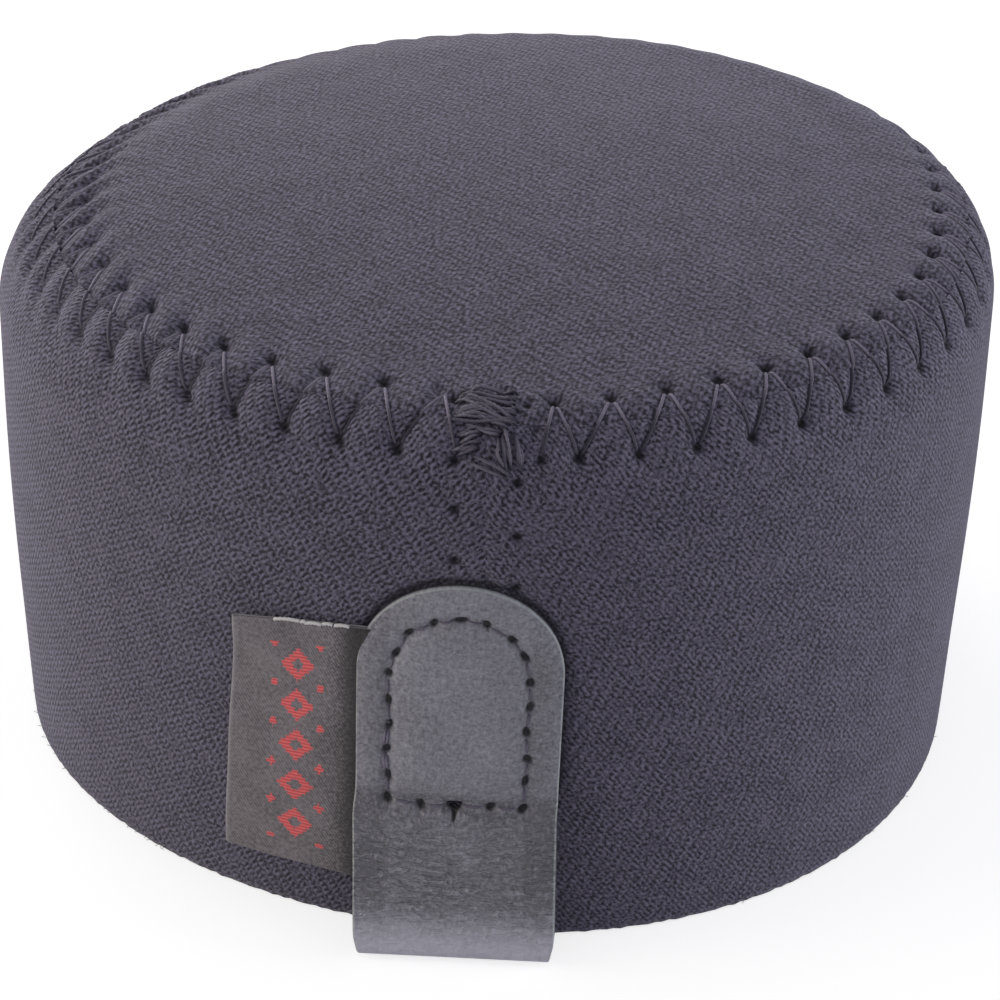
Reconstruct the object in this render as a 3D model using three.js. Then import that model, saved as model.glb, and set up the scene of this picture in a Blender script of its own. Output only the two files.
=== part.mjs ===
// Soft lens cap: a round hood that stretches over the front of a lens.
// The crown and the wall are foam rubber between two knitted fabrics, sewn edge to edge with zigzag stitches.
// A folded pull tab and a folded woven label are sewn on at the front.
// Millimetres, +Z up. The cap stands on its mouth, with the tab and the label at the front, towards -Y.
import * as THREE from "three";
import { mergeVertices } from "three/addons/utils/BufferGeometryUtils.js";

const DEGREE = Math.PI / 180;

// Outer form, as a profile that is turned about the upright axis
const RIM_RADIUS = 48; // widest outer radius, where the wall turns into the shoulder
const HEM_INSET = 1.75; // how much smaller the mouth's outer radius is
const WALL_HEIGHT = 45.5; // from the hem up to the shoulder
const WALL_BULGE = 0.37; // how far the wall swells past a straight line
const SHOULDER_RADIUS = 7.6; // rounding between wall and crown
const DOME_TILT = 6.8 * DEGREE; // slope of the crown where it leaves the shoulder

// Laminate: knitted face, foam rubber, knitted lining
const FACE_THICKNESS = 0.5;
const FOAM_THICKNESS = 3;
const LINING_THICKNESS = 0.5;
const GLUE_LINE = 0.1;
const HEM_TRIM = 0.2; // the fabrics end this far above the foam's cut edge

// Stiffening disc between the foam and the lining of the crown
const DISC_THICKNESS = 1;
const DISC_STITCH_GAP = 0.4; // from the rim seam's highest stitches to the lining's pocket round the disc
const DISC_CLEARANCE = 0.2;
const DISC_POCKET = 0.8; // from the disc's edge to where the lining clears its full thickness
const POCKET_RAMP = 2.2; // over which the lining rises back to the foam

// Rim seam, which joins crown and wall, and the wall's own closing seam at the front
const RIM_SEAM_HEIGHT = 7.6; // from the start of the shoulder to the seam, along the profile
const RIM_SEAM_RISE = 2.9; // how far the seam climbs on the left, and drops on the right
const CLOSING_SEAM_ACROSS = -0.95; // where the wall's two ends meet, along the arc from the front
const BUTT_GAP = 0.3; // between two edges that are sewn together

// Sewing thread and its stitches
const THREAD = 0.36;
const THREAD_GAP = 0.25; // from the fabric to the thread on the outside
const INNER_THREAD_GAP = 0.35; // and on the inside, where the facets stand in
const RIM_STITCHES = 55;
const RIM_STITCH_WIDTH = 5.9;
const RIM_STITCH_START = -4.3 * DEGREE;
const RIM_STITCH_SKEW = -3.4 * DEGREE; // upper holes lie this far round from the lower ones
const RIM_STITCH_SWAY = 7 * DEGREE; // and this much more on the right, or less on the left
const STITCH_TIP = 0.5; // length of thread at each hole
const SHARPEST_MITRE = 0.5; // a corner of thread is at most twice as wide
const CLOSING_STITCH_WIDTH = 5.5;
const CLOSING_STITCH_LENGTH = 5.15;
const CLOSING_STITCH_END = 1.6; // lowest hole above the hem
const CLOSING_STITCH_TOP = 2.9; // highest hole above the start of the shoulder
const TACK_START = 5; // the tack's first run, above the start of the shoulder
const TACK_LENGTH = 6.4;
const TACK_RUNS = 9;

// Pull tab: one strap folded double, with its two round ends sewn down and its fold hanging free
const TAB_WIDTH = 18.4;
const TAB_TOP = 39.7; // height of its round end
const TAB_ACROSS = -4.1; // its middle at the hem, along the arc from the front
const TAB_LEAN = 0.025; // its middle moves right by this share of the height
const TAB_LEAF = 1.1; // thickness of the strap
const TAB_LEAF_GAP = 0.15;
const TAB_STITCH_MARGIN = 3; // from the strap's edge to the line of stitches
const TAB_STITCH_ROW = 16.7; // height of the lowest row of stitches
const TAB_BEND = 15.9; // height below which the strap hangs free
const TAB_STITCH_LENGTH = 2.6;
const FLAP_BEND_GAP = 0.4; // between the sewn leaves and the free fold
const FLAP_LEAN = 7 * DEGREE; // outward lean at the fold
const FLAP_FLOOR_GAP = 0.25; // from the fold down to the surface that the cap stands on

// Woven label, folded double, with its ends sewn in under the tab
const LABEL_LEAF = 0.24;
const LABEL_LEAF_GAP = 0.1;
const LABEL_SEAT = 0.12; // from the wall to the label
const LABEL_BOTTOM = 6.4;
const LABEL_HEIGHT = 26.8;
const LABEL_SHOWING = 13; // from the tab's edge to the fold
const LABEL_SEWN_IN = 4.6; // how far the ends reach under the tab
const LABEL_BEND_GAP = 0.9; // between its sewn ends and its free part
const LABEL_LIFT = 0.9; // how far the fold stands off the wall

// Facets
const COLUMNS = 55; // round the cap
const STRAP_COLUMNS = 9; // points across the strap
const ARC_STEPS = 5; // rows in the strap's round end
const FLAP_STEPS = 4;
const FOLD_STEPS = 6;
const LABEL_STEPS = 6;

// Worked out from the sizes above
const HEM_RADIUS = RIM_RADIUS - HEM_INSET;
const SHOULDER_TURN = Math.PI / 2 - DOME_TILT;
const SHOULDER_LENGTH = SHOULDER_RADIUS * SHOULDER_TURN;
const CROWN_RADIUS = RIM_RADIUS - SHOULDER_RADIUS * (1 - Math.cos(SHOULDER_TURN));
const CROWN_START = WALL_HEIGHT + SHOULDER_LENGTH;
const DOME_SLOPE = Math.tan(DOME_TILT);
const FOAM_TOP = FACE_THICKNESS + GLUE_LINE;
const FOAM_BOTTOM = FOAM_TOP + FOAM_THICKNESS;
const LINING_TOP = FOAM_BOTTOM + GLUE_LINE;
const LAMINATE = LINING_TOP + LINING_THICKNESS;
const HIGHEST_STITCH = WALL_HEIGHT + RIM_SEAM_HEIGHT + RIM_SEAM_RISE + RIM_STITCH_WIDTH / 2;
const POCKET_RADIUS = CROWN_RADIUS + CROWN_START - HIGHEST_STITCH - DISC_STITCH_GAP;
const DISC_RADIUS = POCKET_RADIUS - POCKET_RAMP - DISC_POCKET;
const DISC_TOP = FOAM_BOTTOM + DISC_CLEARANCE;
const DISC_BOTTOM = DISC_TOP + DISC_THICKNESS;
const CLOSING_SEAM = CLOSING_SEAM_ACROSS / RIM_RADIUS;
const LABEL_THICKNESS = 2 * LABEL_LEAF + LABEL_LEAF_GAP;
const TAB_SEAT = Math.max(LABEL_SEAT + LABEL_THICKNESS, THREAD_GAP + THREAD) + GLUE_LINE;
const TAB_THICKNESS = 2 * TAB_LEAF + TAB_LEAF_GAP;
const TAB_RADIUS = RIM_RADIUS + TAB_SEAT + TAB_THICKNESS / 2;
const LABEL_EDGE = -TAB_WIDTH / 2 - LABEL_BEND_GAP;

// Materials
const jersey = new THREE.MeshStandardMaterial({ color: 0x3b3a45, roughness: 0.95, metalness: 0 });
const jerseyInside = new THREE.MeshStandardMaterial({ color: 0x2c2b33, roughness: 0.95, metalness: 0 });
const foam = new THREE.MeshStandardMaterial({ color: 0x1f1f22, roughness: 0.9, metalness: 0 });
const disc = new THREE.MeshStandardMaterial({ color: 0x33343a, roughness: 0.6, metalness: 0 });
const leather = new THREE.MeshStandardMaterial({ color: 0x54555e, roughness: 0.6, metalness: 0 });
const satin = new THREE.MeshStandardMaterial({ color: 0x45464d, roughness: 0.7, metalness: 0 });
const thread = new THREE.MeshStandardMaterial({ color: 0x17171b, roughness: 0.6, metalness: 0 });

// The outer profile at the distance s from the hem: radius, height and outward normal
function profile(s) {
  if (s <= WALL_HEIGHT) {
    const t = s / WALL_HEIGHT;
    const r = HEM_RADIUS + HEM_INSET * t + WALL_BULGE * Math.sin(Math.PI * t);
    const flare = (HEM_INSET + WALL_BULGE * Math.PI * Math.cos(Math.PI * t)) / WALL_HEIGHT;
    const long = Math.hypot(1, flare);
    return { r, z: s, nr: 1 / long, nz: -flare / long };
  }
  if (s <= CROWN_START) {
    const turn = (s - WALL_HEIGHT) / SHOULDER_RADIUS;
    const r = RIM_RADIUS - SHOULDER_RADIUS * (1 - Math.cos(turn));
    const z = WALL_HEIGHT + SHOULDER_RADIUS * Math.sin(turn);
    return { r, z, nr: Math.cos(turn), nz: Math.sin(turn) };
  }
  const r = CROWN_RADIUS + CROWN_START - s;
  const edge = WALL_HEIGHT + SHOULDER_RADIUS * Math.sin(SHOULDER_TURN);
  const z = edge + DOME_SLOPE * (CROWN_RADIUS ** 2 - r ** 2) / (2 * CROWN_RADIUS);
  const slope = DOME_SLOPE * r / CROWN_RADIUS;
  const long = Math.hypot(1, slope);
  return { r, z, nr: slope / long, nz: 1 / long };
}

// Where the crown's profile has the radius r
const crownAt = (r) => CROWN_START + CROWN_RADIUS - r;

// A point off the skin, by its azimuth from the front, its place s on the profile and its height above the skin
function skin(azimuth, s, out) {
  const { r, z, nr, nz } = profile(s);
  const reach = r + nr * out;
  return new THREE.Vector3(reach * Math.sin(azimuth), -reach * Math.cos(azimuth), z + nz * out);
}

function skinNormal(azimuth, s) {
  const { nr, nz } = profile(s);
  return new THREE.Vector3(nr * Math.sin(azimuth), -nr * Math.cos(azimuth), nz);
}

const rimSeam = (azimuth) => WALL_HEIGHT + RIM_SEAM_HEIGHT - RIM_SEAM_RISE * Math.sin(azimuth);

// A closed solid through a row of sections. Each section is a closed ring of points whose second half
// runs back along its first, so an open end is closed by a ladder from one half to the other.
function loft(sections, joined) {
  const ring = sections[0].length;
  const spans = joined ? sections.length : sections.length - 1;
  const index = [];
  for (let j = 0; j < spans; j++) {
    const near = j * ring;
    const far = ((j + 1) % sections.length) * ring;
    for (let k = 0; k < ring; k++) {
      const next = (k + 1) % ring;
      index.push(near + k, near + next, far + next, near + k, far + next, far + k);
    }
  }
  if (!joined) {
    const end = (sections.length - 1) * ring;
    for (let k = 0; k < ring / 2 - 1; k++) {
      const facing = ring - 1 - k;
      index.push(k + 1, k, facing, k + 1, facing, facing - 1);
      index.push(end + k, end + k + 1, end + facing - 1, end + k, end + facing - 1, end + facing);
    }
  }
  const geometry = new THREE.BufferGeometry().setFromPoints(sections.flat());
  geometry.setIndex(index);
  return facingOut(mergeVertices(geometry));
}

// Drops the triangles that merging has emptied, and turns the rest outward
function facingOut(geometry) {
  const points = geometry.getAttribute("position");
  const corner = [0, 1, 2].map(() => new THREE.Vector3());
  const kept = [];
  let volume = 0;
  for (let i = 0; i < geometry.index.count; i += 3) {
    const [a, b, c] = [0, 1, 2].map((k) => geometry.index.getX(i + k));
    if (a === b || b === c || c === a) continue;
    kept.push([a, b, c]);
    [a, b, c].forEach((vertex, k) => corner[k].fromBufferAttribute(points, vertex));
    volume += corner[0].dot(corner[1].clone().cross(corner[2])) / 6;
  }
  geometry.setIndex(kept.flatMap(([a, b, c]) => (volume > 0 ? [a, b, c] : [a, c, b])));
  geometry.computeVertexNormals();
  return geometry;
}

function piece(name, geometry, material) {
  const mesh = new THREE.Mesh(geometry, material);
  mesh.name = name;
  return mesh;
}

// Wall

// One layer of the wall: a strip that goes round from one side of the closing seam to the other
function wallLayer(top, bottom, hem) {
  const sections = [];
  const halfGap = BUTT_GAP / 2 / RIM_RADIUS;
  for (let i = 0; i <= COLUMNS; i++) {
    const open = i === 0 ? halfGap : i === COLUMNS ? -halfGap : 0;
    const azimuth = CLOSING_SEAM + i / COLUMNS * 2 * Math.PI + open;
    const edge = rimSeam(azimuth) - BUTT_GAP / 2;
    const rows = [0, WALL_HEIGHT / 2, WALL_HEIGHT, (WALL_HEIGHT + edge) / 2, edge];
    const outside = rows.map((s) => skin(azimuth, s, -top));
    const inside = rows.map((s) => skin(azimuth, s, -bottom));
    outside[0].z = hem;
    inside[0].z = hem;
    sections.push([...outside, ...inside.reverse()]);
  }
  return loft(sections, false);
}

// Crown

// One layer of the crown: a round panel with its edge at the rim seam, between two depths at each of its rings
function crownLayer(rings) {
  const sections = [];
  for (let i = 0; i < COLUMNS; i++) {
    const azimuth = CLOSING_SEAM + i / COLUMNS * 2 * Math.PI;
    const edge = rimSeam(azimuth) + BUTT_GAP / 2;
    const [first] = rings;
    const rows = [
      { ...first, s: edge },
      { ...first, s: (edge + crownAt(first.r)) / 2 },
      ...rings.map((row) => ({ ...row, s: crownAt(row.r) })),
    ];
    const outside = rows.map(({ s, top }) => skin(azimuth, s, -top));
    const inside = rows.map(({ s, bottom }) => skin(azimuth, s, -bottom));
    sections.push([...outside, ...inside.reverse()]);
  }
  return loft(sections, true);
}

const CROWN_RINGS = [POCKET_RADIUS, DISC_RADIUS * 2 / 3, DISC_RADIUS / 3, 0];

const crownPanel = (top, bottom) => crownLayer(CROWN_RINGS.map((r) => ({ r, top, bottom })));

// The lining lies on the foam at the seam, and goes under the disc inside it
function crownLining() {
  const [outer, ...overDisc] = CROWN_RINGS;
  const under = DISC_BOTTOM + DISC_CLEARANCE;
  const onDisc = [DISC_RADIUS + DISC_POCKET, ...overDisc];
  return crownLayer([
    { r: outer, top: LINING_TOP, bottom: LAMINATE },
    ...onDisc.map((r) => ({ r, top: under, bottom: under + LINING_THICKNESS })),
  ]);
}

function crownDisc() {
  const radii = [DISC_RADIUS, ...CROWN_RINGS.slice(1)];
  const sections = [];
  for (let i = 0; i < COLUMNS; i++) {
    const azimuth = CLOSING_SEAM + i / COLUMNS * 2 * Math.PI;
    const outside = radii.map((r) => skin(azimuth, crownAt(r), -DISC_TOP));
    const inside = radii.map((r) => skin(azimuth, crownAt(r), -DISC_BOTTOM));
    sections.push([...outside, ...inside.reverse()]);
  }
  return loft(sections, true);
}

// Threads

// A square thread along points that each have the normal of the surface below them
function threadAlong(path, joined) {
  const last = path.length - 1;
  const sections = path.map(({ point, normal }, i) => {
    const before = path[joined ? (i + last) % path.length : Math.max(i - 1, 0)].point;
    const after = path[joined ? (i + 1) % path.length : Math.min(i + 1, last)].point;
    const coming = point.clone().sub(before).normalize();
    const going = after.clone().sub(point).normalize();
    const tangent = coming.clone().add(going).normalize();
    const mitre = Math.max(tangent.dot(coming), tangent.dot(going), SHARPEST_MITRE);
    const side = tangent.clone().cross(normal).normalize().multiplyScalar(THREAD / 2 / mitre);
    const up = normal.clone().multiplyScalar(THREAD / 2);
    return [
      point.clone().sub(side).add(up),
      point.clone().add(side).add(up),
      point.clone().add(side).sub(up),
      point.clone().sub(side).sub(up),
    ];
  });
  return loft(sections, joined);
}

const onSkin = (azimuth, s, out) => ({ point: skin(azimuth, s, out), normal: skinNormal(azimuth, s) });

// Heights of a thread's middle above the skin, outside and inside the cap
const OUTSIDE = THREAD_GAP + THREAD / 2;
const INSIDE = -(LAMINATE + INNER_THREAD_GAP + THREAD / 2);

// The rim seam's zigzag, from right of the tack all the way round to left of it
function rimThread(out) {
  const path = [];
  const tip = STITCH_TIP / 2 / RIM_RADIUS;
  const lower = (i) => RIM_STITCH_START + i / RIM_STITCHES * 2 * Math.PI;
  const upper = (i) => lower(i) + RIM_STITCH_SKEW + RIM_STITCH_SWAY * Math.sin(lower(i));
  const place = (azimuth, side) => onSkin(azimuth, rimSeam(azimuth) + side * RIM_STITCH_WIDTH / 2, out);
  const middle = (a, b) => place((a + b) / 2, 0);
  for (let i = 2; i < RIM_STITCHES; i++) {
    const [high, low, next] = [upper(i), lower(i), upper(i + 1)];
    path.push(place(high - tip, 1), place(high + tip, 1), middle(high, low));
    path.push(place(low - tip, -1), place(low + tip, -1), middle(low, next));
  }
  path.push(place(upper(RIM_STITCHES), 1));
  return threadAlong(path, false);
}

// The closing seam's zigzag, down the front from the rim seam to the hem
function closingThread(out) {
  const path = [];
  const half = CLOSING_STITCH_WIDTH / 2 / RIM_RADIUS;
  const top = WALL_HEIGHT + CLOSING_STITCH_TOP;
  const rows = Math.floor((top - CLOSING_STITCH_END) / (CLOSING_STITCH_LENGTH / 2));
  for (let i = 0; i <= rows; i++) {
    const azimuth = CLOSING_SEAM + (i % 2 === 0 ? half : -half);
    const s = top - i * CLOSING_STITCH_LENGTH / 2;
    path.push(onSkin(azimuth, s + STITCH_TIP / 2, out), onSkin(azimuth, s - STITCH_TIP / 2, out));
  }
  return threadAlong(path, false);
}

// The tack that locks the rim seam: close runs of thread to and fro across the closing seam
function tackThread(out) {
  const path = [];
  const half = CLOSING_STITCH_WIDTH / 2 / RIM_RADIUS;
  for (let i = 0; i < TACK_RUNS; i++) {
    const s = WALL_HEIGHT + TACK_START + i / (TACK_RUNS - 1) * TACK_LENGTH;
    const from = i % 2 === 0 ? half : -half;
    path.push(onSkin(CLOSING_SEAM + from, s, out), onSkin(CLOSING_SEAM - from, s, out));
  }
  return threadAlong(path, false);
}

// Pull tab

// Azimuth of a point that lies across millimetres to the right of the tab's middle, at the height s
const tabAzimuth = (across, s) => (TAB_ACROSS + TAB_LEAN * s) / RIM_RADIUS + across / TAB_RADIUS;

const ROUND_END = TAB_TOP - TAB_WIDTH / 2; // where the round end starts

// One sewn leaf of the strap, from its bend up to its round end
function sewnLeaf(from, to) {
  const rows = [{ s: TAB_BEND, half: TAB_WIDTH / 2 }];
  for (let i = 0; i <= ARC_STEPS; i++) {
    const turn = i / ARC_STEPS * Math.PI / 2;
    rows.push({ s: ROUND_END + TAB_WIDTH / 2 * Math.sin(turn), half: TAB_WIDTH / 2 * Math.cos(turn) });
  }
  const sections = rows.map(({ s, half }) => {
    const line = (out) => Array.from({ length: STRAP_COLUMNS }, (_, i) => {
      const across = half * (2 * i / (STRAP_COLUMNS - 1) - 1);
      return skin(tabAzimuth(across, s), s, out);
    });
    return [...line(to), ...line(from).reverse()];
  });
  return loft(sections, false);
}

// The way along a strap or ribbon that is folded double: its share of the length to the fold,
// and how far it has turned round the fold
function foldedDouble(steps) {
  const there = Array.from({ length: steps + 1 }, (_, i) => ({ share: i / steps, turn: 0 }));
  const back = there.map(({ share }) => ({ share, turn: Math.PI })).reverse();
  const round = [];
  for (let i = 1; i < FOLD_STEPS; i++) round.push({ share: 1, turn: i / FOLD_STEPS * Math.PI });
  return [...there, ...round, ...back];
}

// The free fold: the strap goes down in front, round a tight bend and up again behind.
// It hangs from the strap's bend, leans out more and more, and flattens from the wall's round.
function freeFold() {
  const top = TAB_BEND - FLAP_BEND_GAP;
  const foldRadius = TAB_THICKNESS / 2;
  const length = (top - foldRadius - FLAP_FLOOR_GAP) * FLAP_LEAN / Math.sin(FLAP_LEAN);
  const bendRadius = length / FLAP_LEAN;
  const base = profile(TAB_BEND).r + TAB_SEAT + foldRadius;
  const azimuth = tabAzimuth(0, top);
  const outward = new THREE.Vector3(Math.sin(azimuth), -Math.cos(azimuth), 0);
  const across = new THREE.Vector3(Math.cos(azimuth), Math.sin(azimuth), 0);
  const sections = Array.from({ length: STRAP_COLUMNS }, (_, i) => {
    const side = TAB_WIDTH / 2 * (2 * i / (STRAP_COLUMNS - 1) - 1);
    const line = (distance) => foldedDouble(FLAP_STEPS).map(({ share, turn }) => {
      const lean = FLAP_LEAN * share;
      const reach = base + bendRadius * (1 - Math.cos(lean)) + distance * Math.cos(lean - turn);
      const height = top - bendRadius * Math.sin(lean) + distance * Math.sin(lean - turn);
      const wallRound = (1 - share) * side ** 2 / (2 * base);
      return outward.clone().multiplyScalar(reach - wallRound).addScaledVector(across, side).setZ(height);
    });
    return [...line(foldRadius), ...line(TAB_LEAF_GAP / 2).reverse()];
  });
  return loft(sections, false);
}

// The line of stitches round the sewn leaves, shaped like the letter D on its side
function tabThread(out) {
  const half = TAB_WIDTH / 2 - TAB_STITCH_MARGIN;
  const corners = [];
  const along = (x0, s0, x1, s1) => {
    const count = Math.round(Math.hypot(x1 - x0, s1 - s0) / TAB_STITCH_LENGTH);
    for (let i = 0; i < count; i++) corners.push([x0 + (x1 - x0) * i / count, s0 + (s1 - s0) * i / count]);
  };
  along(-half, TAB_STITCH_ROW, half, TAB_STITCH_ROW);
  along(half, TAB_STITCH_ROW, half, ROUND_END);
  const steps = Math.round(Math.PI * half / TAB_STITCH_LENGTH);
  for (let i = 0; i < steps; i++) {
    const turn = i / steps * Math.PI;
    corners.push([half * Math.cos(turn), ROUND_END + half * Math.sin(turn)]);
  }
  along(-half, ROUND_END, -half, TAB_STITCH_ROW);
  return threadAlong(corners.map(([x, s]) => onSkin(tabAzimuth(x, s), s, out)), true);
}

// Woven label

const LABEL_LEVELS = [0, 0.5, 1].map((share) => LABEL_BOTTOM + share * LABEL_HEIGHT);

// The sewn ends, pressed together between the tab and the wall
function labelEnds() {
  const sections = LABEL_LEVELS.map((s) => {
    const line = (out) => [0, 0.5, 1].map((share) => {
      const across = -TAB_WIDTH / 2 + LABEL_SEWN_IN * share;
      return skin(tabAzimuth(across, s), s, out);
    });
    return [...line(LABEL_SEAT + LABEL_THICKNESS), ...line(LABEL_SEAT).reverse()];
  });
  return loft(sections, false);
}

// The free part: out from the tab's edge, round the fold and back, rising off the wall towards the fold
function labelFold() {
  const middle = LABEL_SEAT + LABEL_THICKNESS / 2;
  const radius = LABEL_THICKNESS / 2;
  const length = LABEL_SHOWING - LABEL_BEND_GAP - radius;
  const sections = LABEL_LEVELS.map((s) => {
    const line = (distance) => foldedDouble(LABEL_STEPS).map(({ share, turn }) => {
      const across = LABEL_EDGE - length * share - distance * Math.sin(turn);
      const out = middle + LABEL_LIFT * share ** 2 + distance * Math.cos(turn);
      return skin(tabAzimuth(across, s), s, out);
    });
    return [...line(radius), ...line(LABEL_LEAF_GAP / 2).reverse()];
  });
  return loft(sections, false);
}

// Assembly
const cap = new THREE.Group();
cap.add(
  piece("crown_face", crownPanel(0, FACE_THICKNESS), jersey),
  piece("crown_foam", crownPanel(FOAM_TOP, FOAM_BOTTOM), foam),
  piece("crown_disc", crownDisc(), disc),
  piece("crown_lining", crownLining(), jerseyInside),
  piece("wall_face", wallLayer(0, FACE_THICKNESS, HEM_TRIM), jersey),
  piece("wall_foam", wallLayer(FOAM_TOP, FOAM_BOTTOM, 0), foam),
  piece("wall_lining", wallLayer(LINING_TOP, LAMINATE, HEM_TRIM), jerseyInside),
  piece("rim_needle_thread", rimThread(OUTSIDE), thread),
  piece("rim_bobbin_thread", rimThread(INSIDE), thread),
  piece("closing_needle_thread", closingThread(OUTSIDE), thread),
  piece("closing_bobbin_thread", closingThread(INSIDE), thread),
  piece("rim_tack_thread", tackThread(OUTSIDE), thread),
  piece("tab_back_leaf", sewnLeaf(TAB_SEAT, TAB_SEAT + TAB_LEAF), leather),
  piece("tab_front_leaf", sewnLeaf(TAB_SEAT + TAB_LEAF + TAB_LEAF_GAP, TAB_SEAT + TAB_THICKNESS), leather),
  piece("tab_free_fold", freeFold(), leather),
  piece("tab_needle_thread", tabThread(TAB_SEAT + TAB_THICKNESS + OUTSIDE), thread),
  piece("tab_bobbin_thread", tabThread(INSIDE - THREAD_GAP - THREAD), thread),
  piece("label_sewn_ends", labelEnds(), satin),
  piece("label_free_fold", labelFold(), satin),
);

// The origin is under the cap's axis from left to right, midway from the tab's front to the back, at the hem
const box = new THREE.Box3().setFromObject(cap);
cap.position.y = -(box.min.y + box.max.y) / 2;

export default cap;
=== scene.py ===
"""Looks of the soft lens cap: knitted fabric over foam, sewn with zigzag stitches, with a pull tab and label.

Everything is in metres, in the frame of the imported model: +Z up, the cap standing on its mouth at z = 0, with
the tab and the label towards -Y. An azimuth is the angle round the cap's axis from the front, growing to the
right. A place s is the distance from the hem up the wall, over the shoulder and in over the crown.
"""

import bpy
import numpy as np
from mathutils import Matrix, Vector


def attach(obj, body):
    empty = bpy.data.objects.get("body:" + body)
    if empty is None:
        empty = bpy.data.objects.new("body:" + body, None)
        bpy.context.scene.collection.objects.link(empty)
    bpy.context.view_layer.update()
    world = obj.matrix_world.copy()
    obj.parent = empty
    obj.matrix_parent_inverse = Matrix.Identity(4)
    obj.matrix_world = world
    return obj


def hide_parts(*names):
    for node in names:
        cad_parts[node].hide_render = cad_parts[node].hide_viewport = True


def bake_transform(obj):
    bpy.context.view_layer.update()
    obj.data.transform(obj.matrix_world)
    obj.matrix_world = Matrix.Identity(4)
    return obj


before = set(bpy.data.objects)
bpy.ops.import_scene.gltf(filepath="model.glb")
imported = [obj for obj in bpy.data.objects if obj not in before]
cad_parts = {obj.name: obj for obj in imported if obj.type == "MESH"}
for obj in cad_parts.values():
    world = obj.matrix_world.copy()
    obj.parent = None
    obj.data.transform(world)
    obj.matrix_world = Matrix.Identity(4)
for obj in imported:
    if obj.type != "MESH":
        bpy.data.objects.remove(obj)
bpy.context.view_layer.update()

bl_info = {
    "name": "Soft Lens Cap",
    "version": (1, 0, 0),
    "blender": (4, 5, 0),
    "location": "3D View > Sidebar > Lens Cap",
    "description": "Makes the fabrics, threads, tab and label of a soft lens cap round its packed solids",
    "category": "Object",
}

MM = 0.001
TAU = 2 * np.pi

# The cap's form, as its solids have it
AXIS_Y = 1.8921 * MM  # the cap's upright axis stands at x = 0 and this y
RIM_RADIUS = 48 * MM
HEM_INSET = 1.75 * MM
WALL_HEIGHT = 45.5 * MM
WALL_BULGE = 0.37 * MM
SHOULDER_RADIUS = 7.6 * MM
DOME_TILT = np.radians(6.8)
FACE = 0.5 * MM
FOAM = 3 * MM
LINING = 0.5 * MM
GLUE_LINE = 0.1 * MM
HEM_TRIM = 0.2 * MM
BUTT_GAP = 0.03 * MM  # between the crown's edge and the wall's
SHOULDER_TURN = np.pi / 2 - DOME_TILT
CROWN_RADIUS = RIM_RADIUS - SHOULDER_RADIUS * (1 - np.cos(SHOULDER_TURN))
CROWN_START = WALL_HEIGHT + SHOULDER_RADIUS * SHOULDER_TURN
CROWN_MIDDLE = CROWN_START + CROWN_RADIUS
DOME_SLOPE = np.tan(DOME_TILT)
FOAM_TOP = FACE + GLUE_LINE
FOAM_BOTTOM = FOAM_TOP + FOAM
LINING_TOP = FOAM_BOTTOM + GLUE_LINE
LAMINATE = LINING_TOP + LINING
POCKET_RADIUS = 38.49 * MM  # inside this the lining goes under the disc
POCKET_RAMP = 2.2 * MM
DISC_DEPTH = 1.4 * MM  # the disc and its clearances

# Seams
RIM_SEAM = 53.9 * MM
RIM_SEAM_RISE = 1.65 * MM
RIM_SEAM_DROP = 4.5 * MM  # how much lower the seam runs at the back
CLOSING_SEAM = -0.95 * MM / RIM_RADIUS  # its azimuth, just left of the front
STITCHES = 55
STITCH_STEP = TAU / STITCHES
STITCH_START = np.radians(-4.3)
FIRST_HOLE = 0.081  # azimuth at which the rim seam's thread starts, right of the tack
STITCH_SKEW = np.radians(-3.1)
STITCH_SWAY = np.radians(7)
STITCH_SAG = np.radians(-3.6)
STITCH_WIDTH = 6.6 * MM
CLOSING_WIDTH = 5.5 * MM
CLOSING_LENGTH = 5.15 * MM
CLOSING_TOP = 48.4 * MM
CLOSING_END = 1.6 * MM
THREAD = 0.3 * MM
# azimuth in degrees and s in millimetres of the holes round the tack
TACK_HOLES = ((-4.55, 50.3), (4.7, 50.4), (3.6, 56.0), (-5.2, 56.9), (-3.4, 57.6), (0.9, 58.0))
TACK_RADIUS = 46 * MM  # from the cap's axis to the tack

# Pull tab
TAB_WIDTH = 18.4 * MM
TAB_TOP = 38.35 * MM
TAB_ACROSS = -3.95 * MM
TAB_LEAN = 0.025
TAB_LEAF = 1.1 * MM
TAB_LEAF_GAP = 0.15 * MM
TAB_EDGE = 0.22 * MM  # the rounding of its cut edges
TAB_SEAT = 0.8 * MM
TAB_THICKNESS = 2 * TAB_LEAF + TAB_LEAF_GAP
TAB_MIDDLE = TAB_SEAT + TAB_THICKNESS / 2
TAB_RADIUS = RIM_RADIUS + TAB_MIDDLE
TAB_BEND = 15.9 * MM
FLAP_TOP = 15.5 * MM
FLAP_LEAN = np.radians(7)
FLAP_FLOOR_GAP = 0.25 * MM
FLAP_LENGTH = (FLAP_TOP - TAB_THICKNESS / 2 - FLAP_FLOOR_GAP) * FLAP_LEAN / np.sin(FLAP_LEAN)
LEAF_OFF = (TAB_LEAF + TAB_LEAF_GAP) / 2  # from the middle of the fold to the middle of a leaf
FOLD_HALF = np.pi / 2 * LEAF_OFF  # half the strap's length round its fold
STRAP_BOTTOM = FLAP_TOP - FLAP_LENGTH  # s where the fold starts
STRAP_HALF = TAB_TOP - STRAP_BOTTOM + FOLD_HALF  # from the fold to the tip of a round end
ROUND_END = TAB_TOP - TAB_WIDTH / 2
STITCH_HALF = TAB_WIDTH / 2 - 3 * MM  # from the strap's middle to its line of stitches
STITCH_ROW = 16.2 * MM
STITCH_ROUND = ROUND_END - 0.3 * MM
TAB_PRESS = 2.3 * MM  # how far the sewn strap sinks into the wall at its round end
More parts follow.
